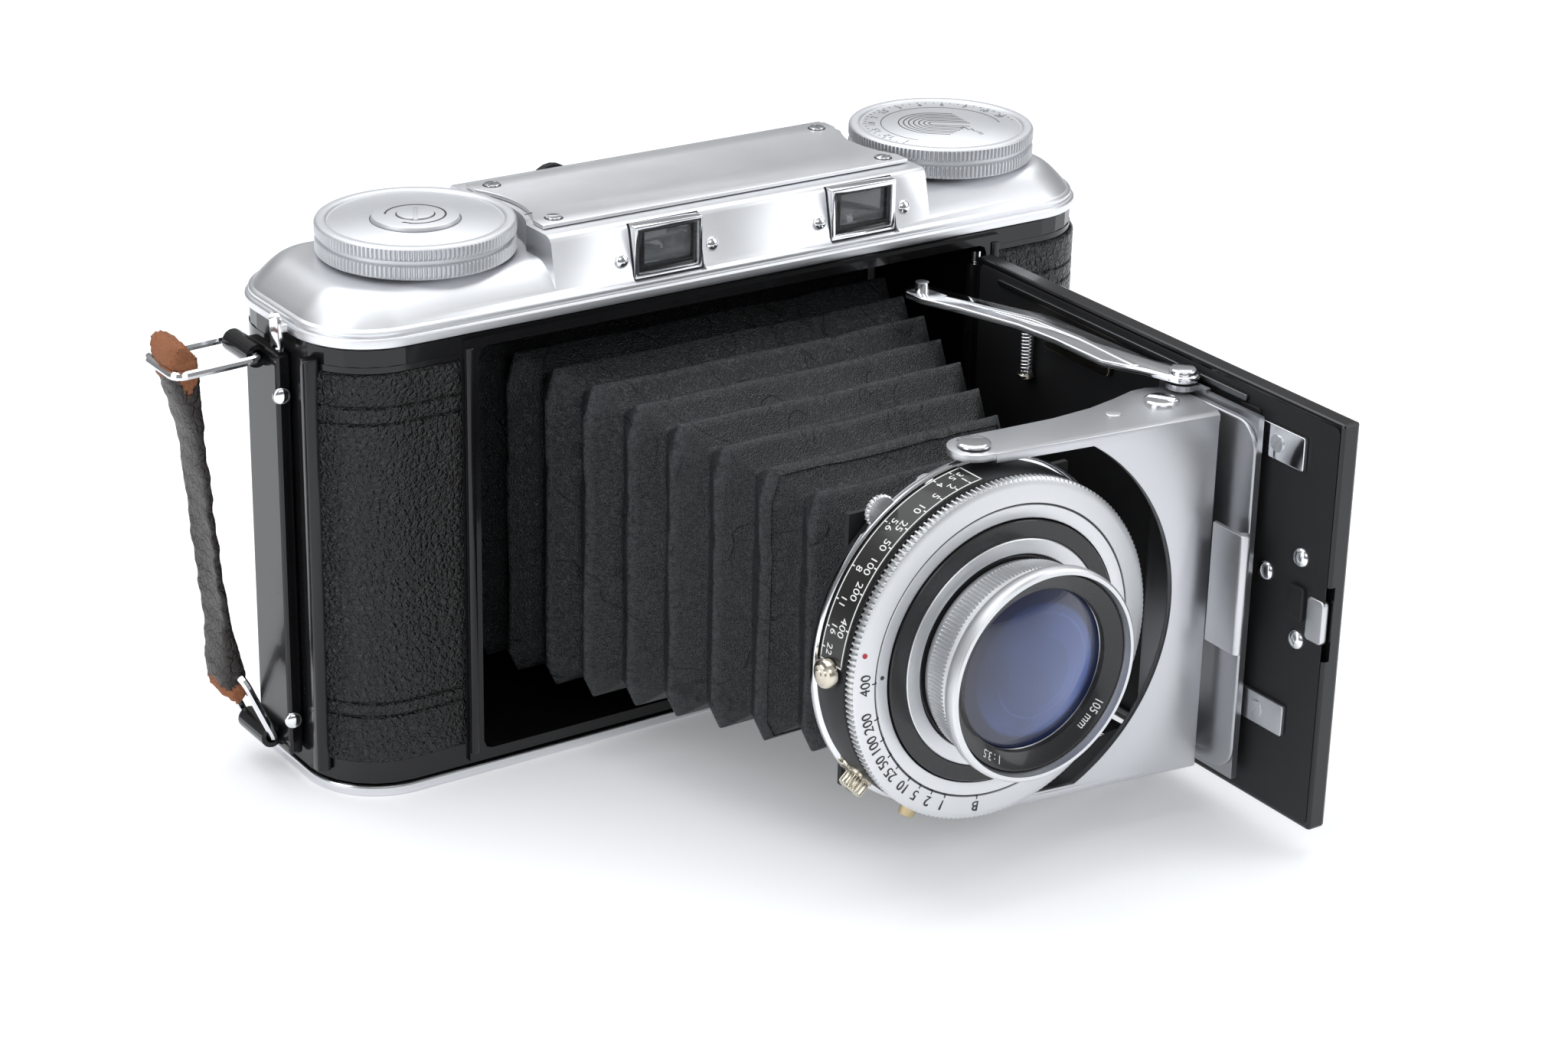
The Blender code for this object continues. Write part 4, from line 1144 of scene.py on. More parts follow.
@dataclass(frozen=True)
class Knob:
    """A knob with two knurled bands and a turned disc on top."""

    top: KnobTop
    x: float
    body: str
    node: str
    teeth: int = 132
    disc_radius: float = 14.3
    disc_top: float = 93.45

    def build(self) -> None:
        """Build the knob and its marks."""
        bite = 0.5
        profile = (
            (0.0, self.disc_top), (self.disc_radius, self.disc_top),
            (self.disc_radius + 0.15, self.disc_top - 0.12), (self.disc_radius + 0.35, self.disc_top - 0.1),
            (14.9, 93.72), (15.2, 93.8), (16.1, 93.8), (16.45, 93.66), (16.62, 93.4), (16.7, 93.2, bite),
            (16.7, 91.72, bite), (16.5, 91.5), (15.9, 91.35), (15.9, 90.7), (16.5, 90.55),
            (16.7, 90.35, bite), (16.7, 88.75, bite), (16.5, 88.45), (16.2, 88.2), (3.0, 88.2), (3.0, 83.4),
            (0.0, 83.4),
        )
        turned(profile, centre=(self.x, 0.0, 0.0), teeth=self.teeth).piece(
            f"{self.top.value}_knob", KNOB_ALUMINIUM, self.body, [self.node], crease=42.0
        )
        if self.top is KnobTop.WINDING:
            self.winding_marks()
        else:
            self.focus_marks()

    def winding_marks(self) -> None:
        """Build the cap, the painted shade of the groove round it, the arrow and the slotted screw with
        painted shade round it.
        """
        top = 94.2
        rows = ((0.0, top), (6.9, top), (7.2, top - 0.1), (7.3, top - 0.35), (7.3, 93.4), (0.0, 93.4))
        turned(rows, centre=(self.x, 0.0, 0.0)).piece(
            "winding_cap", KNOB_ALUMINIUM, self.body, ["advance_cap"]
        )
        # A grey ring round the cap: painted shade of the groove at its foot.
        inner, outer, level = 7.5 - 0.11, 7.5 + 0.11, self.disc_top + 0.02
        rows = ((inner, level), (outer, level), (outer, level - 0.1), (inner, level - 0.1))
        turned(rows, centre=(self.x, 0.0, 0.0)).piece("winding_groove_shade", GROOVE_SHADE_GREY, self.body)
        sweep = stroke(arc((self.x, 0.0), 5.0, -130.0, 150.0, 48), 0.32, top, top + 0.03)
        tip = [(self.x + 5.0 * math.cos(math.radians(a)) + dx, 5.0 * math.sin(math.radians(a)) + dy)
               for a, dx, dy in ((-130.0, 0.9, -0.9), (-146.0, 0.0, 0.0), (-127.0, -0.5, 1.2))]
        sweep.join(prism(tip, top, top + 0.03))
        sweep.piece("winding_arrow", BLACK_MARKS_AND_SHADE, self.body)
        # A black disc under the screw, a little wider than its head: painted shade of the gap round it.
        rows = ((0.0, top + 0.02), (3.3, top + 0.02), (3.3, top - 0.05), (0.0, top - 0.05))
        turned(rows, centre=(self.x, 0.0, 0.0)).piece("winding_screw_gap_shade", BLACK_MARKS_AND_SHADE, self.body)
        screw_head(3.1, 0.3, 0.62).aimed((0.0, 0.0, 1.0), (self.x, 0.0, top - 0.05), 62.0).piece(
            "winding_screw", KNOB_ALUMINIUM, self.body, bevel=0.06
        )

    def focus_marks(self) -> None:
        """Build the distance scale and the nested depth lines."""
        level = self.disc_top
        centre = (self.x, 0.0)
        marks = Form()
        distances = ("1", "1.2", "1.5", "1.8", "2", "2.5", "3", "4", "5", "7", "10", "20")
        apart = 19.0
        for number, text in enumerate(distances):
            angle = 205.0 - apart * number
            marks.join(Mark(text, 1.75, on_face(centre, 12.5, angle, level)).form(0.04))
            for share, reach in ((0.0, 13.9), (0.33, 13.7), (0.66, 13.7)):
                turn = math.radians(angle - apart * share)
                tick = [(self.x + r * math.cos(turn), r * math.sin(turn)) for r in (13.45, reach + 0.25)]
                marks.join(stroke(tick, 0.14, level, level + 0.03))
        marks.join(stroke(arc(centre, 10.9, 212.0, -22.0, 90), 0.13, level, level + 0.03))
        lean = math.radians(-38.0)
        nose = (self.x - 0.6, 1.2)
        pitch = 0.92
        for number in range(7):
            radius = 1.0 + pitch * number
            bend = [(nose[0] + radius * math.cos(a), nose[1] + radius * math.sin(a))
                    for a in np.linspace(lean + math.pi / 2.0, lean + 1.5 * math.pi, 22)]
            run = 6.4 - 0.55 * number
            tail = (math.cos(lean) * run, math.sin(lean) * run)
            first, last = [(end[0] + tail[0], end[1] + tail[1]) for end in (bend[0], bend[-1])]
            marks.join(stroke([first, *bend, last], 0.2, level, level + 0.03))
        nearly_flat = 40.0
        for number, text in enumerate(("3.5", "4", "5.6", "8", "11", "16", "22")):
            angle = math.radians(-60.0 - 3.0 * number)
            x = self.x + 1.4 + (1.6 + pitch * number) * math.cos(angle)
            y = -2.6 + (1.0 + 0.8 * number) * math.sin(angle)
            place = on_face((x, y - nearly_flat), nearly_flat, 90.0, level)
            marks.join(Mark(text, 0.95, place).form(0.04))
        marks.piece("focus_scale", BLACK_MARKS_AND_SHADE, self.body)


@dataclass(frozen=True)
class Covering:
    """Leather panel that wraps a front corner of the body, with its embossed lines."""

    side: float
    start: float = 54.6
    low: float = 6.3
    high: float = 75.6
    inner: float = 0.15
    outer: float = 0.78
    lines: tuple[float, ...] = (70.0, 67.1, 17.4, 15.0)

    def build(self) -> None:
        """Build the panel."""
        name = "left" if self.side < 0.0 else "right"
        flat = np.linspace(self.start, HALF_WIDTH - CORNER_RADIUS, 12)
        turns = np.radians(-90.0 + np.linspace(0.0, 80.0, 30))[1:]
        stations = [(x, BODY_FRONT, 0.0, -1.0) for x in flat]
        corner = (HALF_WIDTH - CORNER_RADIUS, BODY_FRONT + CORNER_RADIUS)
        stations += [(corner[0] + CORNER_RADIUS * math.cos(a), corner[1] + CORNER_RADIUS * math.sin(a),
                      math.cos(a), math.sin(a)) for a in turns]
        last = len(stations) - 1
        outer, inner = [], []
        for z in self.heights():
            rows = ([], [])
            for number, (x, y, nx, ny) in enumerate(stations):
                edge = min(z - self.low, self.high - z, 0.9 * number, 0.9 * (last - number)) / 0.55
                crown = 1.0 - max(0.0, 1.0 - edge) ** 2 * 0.6
                groove = sum(0.26 * math.exp(-((z - line) / 0.22) ** 2) for line in self.lines)
                for row, offset in zip(rows, (self.outer * crown - groove, self.inner)):
                    row.append((self.side * (x + nx * offset), y + ny * offset, z))
            outer.append(rows[0])
            inner.append(rows[1])
        shell(outer, inner).piece(f"front_leather_{name}", GRAIN_LEATHER, "body", [f"leather_{name}"])

    def heights(self) -> list[float]:
        """Heights of the panel's rows, closer together at its edges and lines."""
        spots = set(np.round(np.linspace(self.low, self.high, 46), 3))
        for line in self.lines:
            spots |= {round(line + step, 3) for step in (-0.6, -0.35, -0.22, -0.1, 0.0, 0.1, 0.22, 0.35, 0.6)}
        for step in (0.12, 0.3, 0.55):
            spots |= {round(self.low + step, 3), round(self.high - step, 3)}
        return sorted(float(spot) for spot in spots)


@dataclass(frozen=True)
class Back:
    """Back door with its leather, red window, slide and pressure plate."""

    def build(self) -> None:
        """Build the door's leather and slide, and finish its other pieces."""
        item = prism(rectangle(-62.0, 62.0, 6.3, 75.6, 1.2, 4), 20.12, 20.78, Plane.XZ).piece(
            "back_leather", GRAIN_LEATHER, "door", ["leather_back"]
        )
        carve(item, [block((9.6, 19.0, 52.2), (41.0, 22.0, 63.8))])
        smooth_over(item, 0.22)
        slide = prism(rectangle(11.0, 25.0, 53.0, 63.0, 0.8, 4), 20.2, 20.9, Plane.XZ)
        for number in range(5):
            x = 12.2 + 0.9 * number
            slide.join(prism(rectangle(x, x + 0.45, 54.5, 61.5), 20.7, 21.55, Plane.XZ))
        slide.piece("window_slide_cover", SATIN_CHROME, "window_slide", ["window_cover"], bevel=0.1)
        finish_nodes({
            "back_door": GLOSS_ENAMEL, "red_window": RED_GLASS, "pressure_plate": DARK_STEEL,
            "pressure_spring": POLISHED, "take_up_spool": DARK_STEEL, "supply_spool": DARK_STEEL,
        })


@dataclass(frozen=True)
class Bellows:
    """Pleated leather bellows in two lengths that pack towards the lens and the bay."""

    ridge_step: float = 9.0
    widths: tuple[Flat, ...] = (
        (-85.0, 18.6), (-82.0, 19.4), (-72.0, 21.6), (-63.0, 24.4), (-54.0, 27.2), (-45.0, 30.0),
        (-36.0, 32.4), (-27.0, 35.4), (-18.0, 37.4), (-9.0, 39.8), (14.0, 42.5),
    )
    heights: tuple[Flat, ...] = (
        (-85.0, 21.8), (-82.0, 22.2), (-63.0, 24.1), (-54.0, 25.1), (-45.0, 26.2), (-36.0, 27.2),
        (-27.0, 28.3), (-18.0, 29.0), (14.0, 30.4),
    )
    middles: tuple[Flat, ...] = ((-85.0, 40.2), (-63.0, 40.8), (-45.0, 41.2), (-18.0, 40.8), (14.0, 40.9))
    fold: float = 3.3
    seam: float = -63.0
    front_end: float = -82.0
    rear_end: float = 12.0
    thickness: float = 0.45
    side_steps: int = 30

    def build(self) -> None:
        """Build both lengths."""
        rear = self.sleeve([*self.stations(self.rear_end, self.seam), (self.seam - 1.2, 0.3)], 0.0)
        self.finish_sleeve("bellows_rear", rear, "body", self.rear_end, ["bellows"])
        front = self.sleeve(self.stations(self.seam + self.ridge_step, self.front_end), 0.4)
        self.finish_sleeve("bellows_front", front, "lens", self.front_end, [])

    def stations(self, start: float, end: float) -> list[Flat]:
        """Depths of the rings between two ends, with how far each is folded in, 0 to 1."""
        shape = (
            (-4.5, 1.0), (-4.1, 0.93), (-3.0, 0.68), (-2.0, 0.44), (-1.1, 0.22), (-0.45, 0.05), (0.0, 0.0),
            (0.45, 0.05), (1.3, 0.27), (2.6, 0.6), (3.8, 0.9),
        )
        ridges = [-self.ridge_step * number for number in range(-1, 10)]
        rings = [(ridge - step, share) for ridge in ridges for step, share in shape]
        return sorted({(round(y, 3), share) for y, share in rings if end <= y <= start}, reverse=True)

    def sleeve(self, stations: Sequence[Flat], shrink: float) -> tuple[Form, list[float]]:
        """Skin rings of a rounded oblong whose corners tuck in at the folds.

        Args:
            stations: depth of each ring and how far it is folded in.
            shrink: how much smaller the sleeve is all round.

        Returns:
            The open sleeve and how worn each corner is.
        """
        points, wear = [], []
        grooves = (-21.0, -18.2, 16.0, 18.6)
        rng = np.random.default_rng(7)
        for y, share in stations:
            width = float(np.interp(y, *zip(*self.widths))) - shrink - self.fold * share
            height = float(np.interp(y, *zip(*self.heights))) - shrink - self.fold * 0.92 * share
            middle = float(np.interp(y, *zip(*self.middles)))
            for x, z, across in self.ring(width, height, 1.0 - share):
                sag = 0.22 * math.sin(0.21 * x + 0.6 * y) * math.sin(0.17 * z + 0.9)
                sag *= 1.0 - abs(across) ** 4
                sag += 0.55 * (1.0 - across * across) * (0.35 - share) * (1.0 if share < 0.3 else 0.4)
                groove = sum(0.26 * math.exp(-((across * 40.0 - line) / 0.55) ** 2) for line in grooves)
                sink = (sag + groove) / max(math.hypot(x, z), 1.0)
                points.append((x * (1.0 - sink), y, middle + z * (1.0 - sink)))
                edge = max(0.0, 1.0 - share * 5.0) * 0.75 + max(0.0, abs(across) - 0.93) * 8.0 * (1.0 - share)
                wear.append(min(1.0, edge + 0.1 * float(rng.random())))
        return Form(points, skin(len(stations), len(points) // len(stations))), wear

    def ring(self, width: float, height: float, tuck: float) -> list[Point]:
        """Corners of one ring: x, z and the place across its side, -1 to 1."""
        ring = []
        side, over, under = 0.5 + 1.3 * tuck, 0.5 + 5.6 * tuck, 0.5 + 3.4 * tuck
        sides = (
            ((-width + side, -height), (width - side, -height)),
            ((width, -height + under), (width, height - over)),
            ((width - side, height), (-width + side, height)),
            ((-width, height - over), (-width, -height + under)),
        )
        for (ax, az), (bx, bz) in sides:
            for i in range(self.side_steps + 1):
                bunched = 0.35 + 0.65 * abs(1.0 - 2.0 * i / self.side_steps)
                share = 0.5 - 0.5 * math.cos(math.pi * i / self.side_steps) * bunched
                share = 0.5 * share + 0.5 * i / self.side_steps
                ring.append((ax + (bx - ax) * share, az + (bz - az) * share, 2.0 * share - 1.0))
        return ring

    def finish_sleeve(
        self, name: str, sleeve: tuple[Form, list[float]], body: str, anchor: float, nodes: Sequence[str]
    ) -> None:
        """Thicken a sleeve, dress it and let it ride on its body."""
        form, wear = sleeve
        item = form.item(name, {"wear": wear})
        wall = item.modifiers.new("wall", "SOLIDIFY")
        wall.thickness = self.thickness * UNIT
        wall.offset = -1.0
        settle(item)
        smooth_over(item, crease=58.0)
        dress(item, BELLOWS_LEATHER, body, nodes)
        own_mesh(item)


@dataclass(frozen=True)
class Bed:
    """Hinged bed with its leather, tabs, rivets and catch, and the carriage on it."""

    inner: float = 48.0
    rivets: tuple[Flat, ...] = ((-103.2, 46.3), (-111.1, 51.5), (-111.5, 37.2))

    def build(self) -> None:
        """Build the pieces that ride on the bed."""
        prism(rectangle(-114.5, -26.5, 8.6, 72.8, 1.6, 5), 51.66, 52.3, Plane.YZ).piece(
            "bed_outer_leather", GRAIN_LEATHER, "bed", ["bed_leather"], bevel=0.2
        )
        for number, (y, z) in enumerate(self.rivets):
            rivet(1.75, 1.1).aimed((-1.0, 0.0, 0.0), (self.inner, y, z)).piece(
                f"bed_rivet_{number}", POLISHED, "bed"
            )
        for name, low, high, finish in (("upper", 66.2, 71.9, POLISHED), ("lower", 19.4, 24.8, SATIN_CHROME)):
            middle = (low + high) / 2.0
            prism(rectangle(-110.6, -98.5, low, high, 0.4, 3), 46.95, 47.75, Plane.YZ).piece(
                f"bed_tab_{name}", finish, "bed", [f"rail_tab_{name}"], bevel=0.12
            )
            screw_head(1.45, 0.3).aimed((-1.0, 0.0, 0.0), (46.96, -104.4, middle), 55.0).piece(
                f"bed_tab_screw_{name}", SATIN_CHROME, "bed", bevel=0.05
            )
            prism(rectangle(-99.2, -94.6, low - 1.6, high + 1.2, 0.5, 3), 47.3, 48.02, Plane.YZ).piece(
                f"bed_stop_{name}", DULL_PAINT, "bed", bevel=0.15
            )
        for name, finish, body, nodes, sides, levels, bevel in (
            ("bed_stop_tab", DULL_PAINT, "bed", [], (-113.0, -109.7, 41.0, 46.7, 0.4, 3), (47.0, 48.02), 0.2),
            ("bed_lining", DULL_PAINT, "bed", [], (-117.3, -24.0, 5.9, 75.5, 1.0, 4), (47.86, 48.03), 0.05),
            ("bed_catch_plate", SATIN_CHROME, "catch", ["bed_catch"], (-117.4, -113.4, 38.2, 45.8, 0.8, 4),
             (47.6, 48.9), 0.3),
        ):
            prism(rectangle(*sides), *levels, Plane.YZ).piece(name, finish, body, nodes, bevel=bevel)
        self.rails()
        prism(rectangle(-101.9, -77.4, 9.4, 71.6, 4.6, 8), 44.5, 45.3, Plane.YZ).piece(
            "carriage_side", CARRIAGE_SATIN, "carriage", bevel=0.38
        )
        finish_nodes({"bed_plate": GLOSS_ENAMEL, "carriage_bracket": CARRIAGE_SATIN})

    def rails(self) -> None:
        """Build the two low guide rails that the carriage runs between, the spring and the lever plate."""
        for name, z in (("upper", 73.9), ("lower", 7.3)):
            prism(rectangle(-96.0, -30.0, z - 0.55, z + 0.55, 0.3, 3), 47.1, 48.02, Plane.YZ).piece(
                f"bed_rail_{name}", DARK_STEEL, "bed", bevel=0.12
            )
        turns, radius = 16, 1.15
        path = [(46.4 + radius * math.cos(a), -40.0 + radius * math.sin(a), 60.0 + 0.62 * a / math.tau)
                for a in np.linspace(0.0, math.tau * turns, turns * 14)]
        tube(path, 0.16, 8).piece("bed_spring", POLISHED, "bed")
        for z in (59.7, 70.1):
            rows = ((0.0, z + 0.7), (1.5, z + 0.7), (1.6, z + 0.5), (1.6, z), (0.0, z))
            turned(rows, centre=(46.4, -40.0, 0.0), steps=32).piece(
                f"spring_seat_{int(z)}", NICKEL, "bed", bevel=0.08
            )
        prism(rectangle(-62.0, -44.0, 66.5, 72.5, 1.0, 4), 46.6, 47.3, Plane.YZ).piece(
            "bed_lever_plate", NICKEL, "bed", bevel=0.15
        )
        rivet(1.2, 0.7).aimed((-1.0, 0.0, 0.0), (46.6, -47.5, 69.5)).piece("bed_lever_rivet", POLISHED, "bed")


@dataclass(frozen=True)
class Bracket:
    """Front bracket that carries the lens, with its struts and release."""

    pivot: Flat = (38.0, -86.0)
    lens_pivot: Flat = (0.0, -86.0)
    strut_pivot: Flat = (44.6, -83.2)
    arm_low: float = 70.8
    arm_high: float = 72.0

    def build(self) -> None:
        """Build the bracket, its rivets, the struts and the release."""
        self.frame()
        self.struts()
        self.release()

    @staticmethod
    def mirrored(level: float) -> float:
        """The same height on the other side of the lens axis."""
        return 2.0 * AXIS_Z - level

    def frame(self) -> None:
        """Build the two arms and the web with its round opening."""
        outline = arc(self.lens_pivot, 4.3, 80.0, 275.0, 28)
        outline += [(14.0, -92.3), (42.3, -95.6), (43.4, -93.6), (44.1, -88.0), (43.9, -84.0), (42.3, -81.2)]
        outline += [(39.6, -79.9), (36.6, -79.9), (32.0, -81.2), (26.0, -82.5), (18.0, -83.0), (8.0, -82.4)]
        item = prism(outline, self.arm_low, self.arm_high).piece(
            "lens_bracket", BRACKET_SATIN, "bracket", ["front_bracket"]
        )
        low = self.mirrored(self.arm_high)
        run = Vector((41.0, -5.1))
        side = Vector((-run.y, run.x)).normalized() * 0.6
        web = [(1.2 - side.x, -90.0 - side.y), (42.2 - side.x, -95.1 - side.y),
               (42.2 + side.x, -95.1 + side.y), (1.2 + side.x, -90.0 + side.y)]
        lower_arm = prism(outline, low, self.mirrored(self.arm_low))
        carve(item, [lower_arm, prism(web, low, self.arm_high)], "UNION")
        radius, half = 35.3, 29.9
        flat = math.degrees(math.asin(half / radius))
        opening = [(-14.0, AXIS_Z - half), *arc((0.0, AXIS_Z), radius, -flat, flat, 56)]
        opening.append((-14.0, AXIS_Z + half))
        carve(item, [prism(opening, -102.0, -84.0, Plane.XZ)])
        smooth_over(item, 0.42, 50.0, 30.0)
        for name, sign in (("upper", 1.0), ("lower", -1.0)):
            face = AXIS_Z + sign * (self.arm_high - AXIS_Z)
            up = (0.0, 0.0, sign)
            flat_rivet(2.75, 0.55).aimed(up, (*self.lens_pivot, face + sign * 0.28)).piece(
                f"lens_pivot_head_{name}", POLISHED, "lens", [f"lens_pivot_{name}"]
            )
            flat_rivet(2.9, 0.5).aimed(up, (*self.pivot, face)).piece(
                f"bracket_pin_head_{name}", POLISHED, "bracket"
            )
            flat_rivet(1.35, 0.22).aimed(up, (27.5, -86.6, face)).piece(
                f"bracket_stud_{name}", BRACKET_SATIN, "bracket"
            )

    def struts(self) -> None:
        """Build the polished struts with their rivets and rear pins."""
        outline = arc(self.strut_pivot, 2.9, -150.0, 30.0, 20)
        outline += [(44.2, -76.0), (43.6, -65.0), (43.0, -50.0), (39.8, -43.0), (36.8, -35.0), (34.4, -27.6)]
        outline += [(32.6, -25.4), (30.2, -25.6), (28.8, -27.8), (29.2, -32.0), (31.8, -39.0), (35.4, -51.0)]
        outline += [(36.4, -60.0), (36.6, -72.0), (40.2, -79.0)]
        for name, sign in (("upper", 1.0), ("lower", -1.0)):
            near, far = sorted((AXIS_Z + sign * 33.1, AXIS_Z + sign * 34.3))
            body = "strut_up" if sign > 0.0 else "strut_low"
            item = prism(outline, near, far).piece(
                f"polished_strut_{name}", POLISHED, body, [f"strut_{name}"], bevel=0.3
            )
            up, level, foot = (0.0, 0.0, sign), AXIS_Z + sign * 34.2, -1.6 if sign > 0.0 else -0.6
            pin = turned([(0.0, 1.6), (1.2, 1.6), (1.2, foot), (0.0, foot)], steps=24)
            carve(item, [pin.aimed(up, (31.7, -28.6, level))], "UNION")
            smooth_over(item, crease=38.0)
            flat_rivet(2.35, 0.85).aimed(up, (*self.strut_pivot, AXIS_Z + sign * 34.3)).piece(
                f"strut_rivet_{name}", POLISHED, body
            )
            rib = [(39.8, -77.0), (40.3, -62.0), (39.2, -50.5), (36.0, -42.0), (33.2, -33.5)]
            stroke(rib, 1.3, level - 0.25, level + 0.25).piece(
                f"strut_rib_{name}", POLISHED, body, bevel=0.2
            )

    @staticmethod
    def release() -> None:
        """Build the release plate with its rolled edge."""
        profile = [(41.5, -97.3), (40.6, -97.6), (40.5, -103.6)]
        profile += arc((41.45, -104.45), 1.0, 170.0, 400.0, 14)
        profile += [(41.5, -103.2)]
        plate = prism(profile, 33.4, 54.4)
        plate.join(prism(rectangle(41.2, 44.8, -98.6, -97.4), 38.0, 50.0))
        plate.piece("release_lever", SATIN_CHROME, "release", ["release_plate"], bevel=0.14)


@dataclass(frozen=True)
class Shutter:
    """Shutter and lens with their dials, scales and levers."""

    speeds: tuple[tuple[str, float], ...] = (
        ("B", 261.1), ("1", 245.7), ("2", 238.8), ("5", 232.2), ("10", 225.5), ("25", 217.2), ("50", 210.6),
        ("100", 202.6), ("200", 193.2), ("400", 178.7),
    )
    plate_speeds: tuple[tuple[str, float], ...] = (
        ("1", 101.0), ("2", 106.0), ("5", 112.0), ("10", 118.5), ("25", 126.4), ("50", 134.0),
        ("100", 141.6), ("200", 150.4), ("400", 162.4),
    )
    stops: tuple[tuple[str, float], ...] = (
        ("3.5", 101.5), ("4", 107.5), ("5.6", 127.5), ("8", 144.0), ("11", 155.0), ("16", 163.8),
        ("22", 170.4),
    )

    def build(self) -> None:
        """Build the lens and shutter."""
        self.housing()
        self.speed_ring()
        self.bands()
        self.scale_plate()
        self.barrel()
        self.glass()
        self.levers()
        finish_nodes({"bellows_frame": DULL_PAINT, "rear_cell": DULL_PAINT, "rear_glass": LENS_GLASS})

    @staticmethod
    def ring(rows: Sequence[Sequence[float]], steps: int = 160, teeth: int = 0) -> Form:
        """Turn a profile round the lens axis, facing the front."""
        return turned(rows, Axis.FRONT, (0.0, 0.0, AXIS_Z), steps, teeth)

    def housing(self) -> None:
        """Build the board that holds the shutter, with its chrome rim."""
        rows = (
            (10.0, 91.6), (27.9, 91.6), (27.9, 93.5), (28.6, 93.5), (28.9, 93.2), (28.9, 84.3), (28.4, 83.4),
            (10.0, 83.4),
        )
        item = self.ring(rows).piece(
            "shutter_board", DULL_PAINT, "lens", ["lens_board"]
        )
        smooth_over(item)
        rows = ((28.72, 86.75), (29.45, 86.75), (29.78, 86.5), (29.8, 85.7), (29.6, 85.4), (28.72, 85.4))
        self.ring(rows).piece("board_chrome_rim", POLISHED, "lens", ["board_rim"])

    def speed_ring(self) -> None:
        """Build the serrated ring with its numbers and groove."""
        bite = 0.42
        rows = (
            (22.4, 95.9), (22.6, 96.0), (24.5, 96.0), (24.6, 95.8), (24.8, 95.8), (24.9, 96.0), (27.6, 95.85),
            (28.25, 95.75), (28.65, 95.6), (28.95, 95.35, bite), (28.95, 93.95, bite), (28.6, 93.6, bite),
            (28.0, 93.55), (28.0, 91.8), (22.4, 91.8),
        )
        self.ring(rows, teeth=190).piece(
            "serrated_speed_ring", RING_ALUMINIUM, "speeds", ["speed_ring"], crease=35.0
        )
        marks = Form()
        for text, angle in self.speeds:
            marks.join(Mark(text, 2.5, on_face((0.0, 0.0), 26.5, angle, 95.93)).form(0.1))
            turn = math.radians(angle)
            tick = [(r * math.cos(turn), r * math.sin(turn)) for r in (24.55, 25.35)]
            marks.join(stroke(tick, 0.2, 95.9, 96.03))
        marks.join(stroke(arc((0.0, 0.0), 24.7, 0.0, 360.0, 160)[:-1], 0.2, 95.7, 95.84, closed=True))
        marks.mapped(faced_front).piece("speed_numbers", BLACK_MARKS_AND_SHADE, "speeds")
        dot = turned([(0.0, 0.03), (0.42, 0.03), (0.42, -0.1), (0.0, -0.1)], steps=24).aimed(
            (0.0, -1.0, 0.0), self.spot(27.4, 168.0, 95.95)
        )
        dot.piece("speed_red_dot", RED_MARKS, "speeds")

    @staticmethod
    def spot(radius: float, degrees: float, depth: float) -> Point:
        """Point at a radius and angle round the lens axis, seen from the front."""
        angle = math.radians(degrees)
        return radius * math.cos(angle), -depth, AXIS_Z + radius * math.sin(angle)

    def bands(self) -> None:
        """Build the black face with its bright ring and index dot."""
        rows = (
            (12.4, 96.35), (16.4, 96.35), (16.5, 96.1), (19.3, 96.1), (19.4, 96.3), (21.95, 96.25),
            (22.1, 96.1), (22.1, 91.8), (12.4, 91.8),
        )
        self.ring(rows).piece(
            "shutter_black_face", BAND_ENAMEL, "lens", ["shutter_face"]
        )
        rows = ((16.75, 96.62), (19.0, 96.62), (19.15, 96.5), (19.15, 96.05), (16.6, 96.05), (16.6, 96.5))
        self.ring(rows).piece("shutter_bright_ring", RING_ALUMINIUM, "lens")
        turned([(0.0, 0.04), (0.36, 0.04), (0.36, -0.1), (0.0, -0.1)], steps=24).aimed(
            (0.0, -1.0, 0.0), self.spot(23.5, 177.0, 96.0)
        ).piece("shutter_index_dot", BLACK_MARKS_AND_SHADE, "speeds")

    @staticmethod
    def on_rim(degrees: float, depth: float, radius: float) -> Callable[[Point], Point]:
        """Mapping that wraps letters on the side of the board, read from behind.

        Args:
            degrees: angle of the letters' middle.
            depth: their distance towards the front.
            radius: radius of the surface.

        Returns:
            The mapping.
        """

        def place(point: Point) -> Point:
            """Put one corner on the side of the board."""
            angle = math.radians(degrees) + point[0] / radius
            reach = radius + point[2]
            return reach * math.cos(angle), -depth - point[1], AXIS_Z + reach * math.sin(angle)

        return place

    def scale_plate(self) -> None:
        """Build the curved scale plate with its border, ticks and numbers."""
        start, end, rear, front, radius = 96.5, 175.0, 87.3, 93.3, 29.35
        middle = (start + end) / 2.0
        reach = math.radians(end - start) / 2.0 * radius
        place = self.on_rim(middle, 0.0, radius)
        count = 60
        grids = [[[place((u, v, w)) for u in np.linspace(-reach, reach, count)]
                  for v in (rear, (rear + front) / 2.0, front)] for w in (0.0, -0.5)]
        shell(*grids).piece("scale_plate_curved", PLATE_ENAMEL, "lens", ["scale_plate"])
        marks = Form()
        steps = np.linspace(-reach + 0.35, reach - 0.35, count)
        low, high = rear + 0.3, front - 0.3
        border = [(u, low) for u in steps] + [(u, high) for u in reversed(steps)]
        marks.join(stroke(border, 0.2, 0.0, 0.05, closed=True).mapped(place))
        for rows, base, sign, size in ((self.stops, low, 1.0, 2.0), (self.plate_speeds, high, -1.0, 2.15)):
            for text, angle in rows:
                u = math.radians(angle - middle) * radius
                marks.join(stroke([(u, base), (u, base + sign * 0.65)], 0.22, 0.0, 0.05).mapped(place))
                marks.join(Mark(text, size, self.on_rim(angle, base + sign * 1.75, radius)).form(0.07))
        marks.piece("scale_plate_numbers", WHITE_MARKS, "lens")

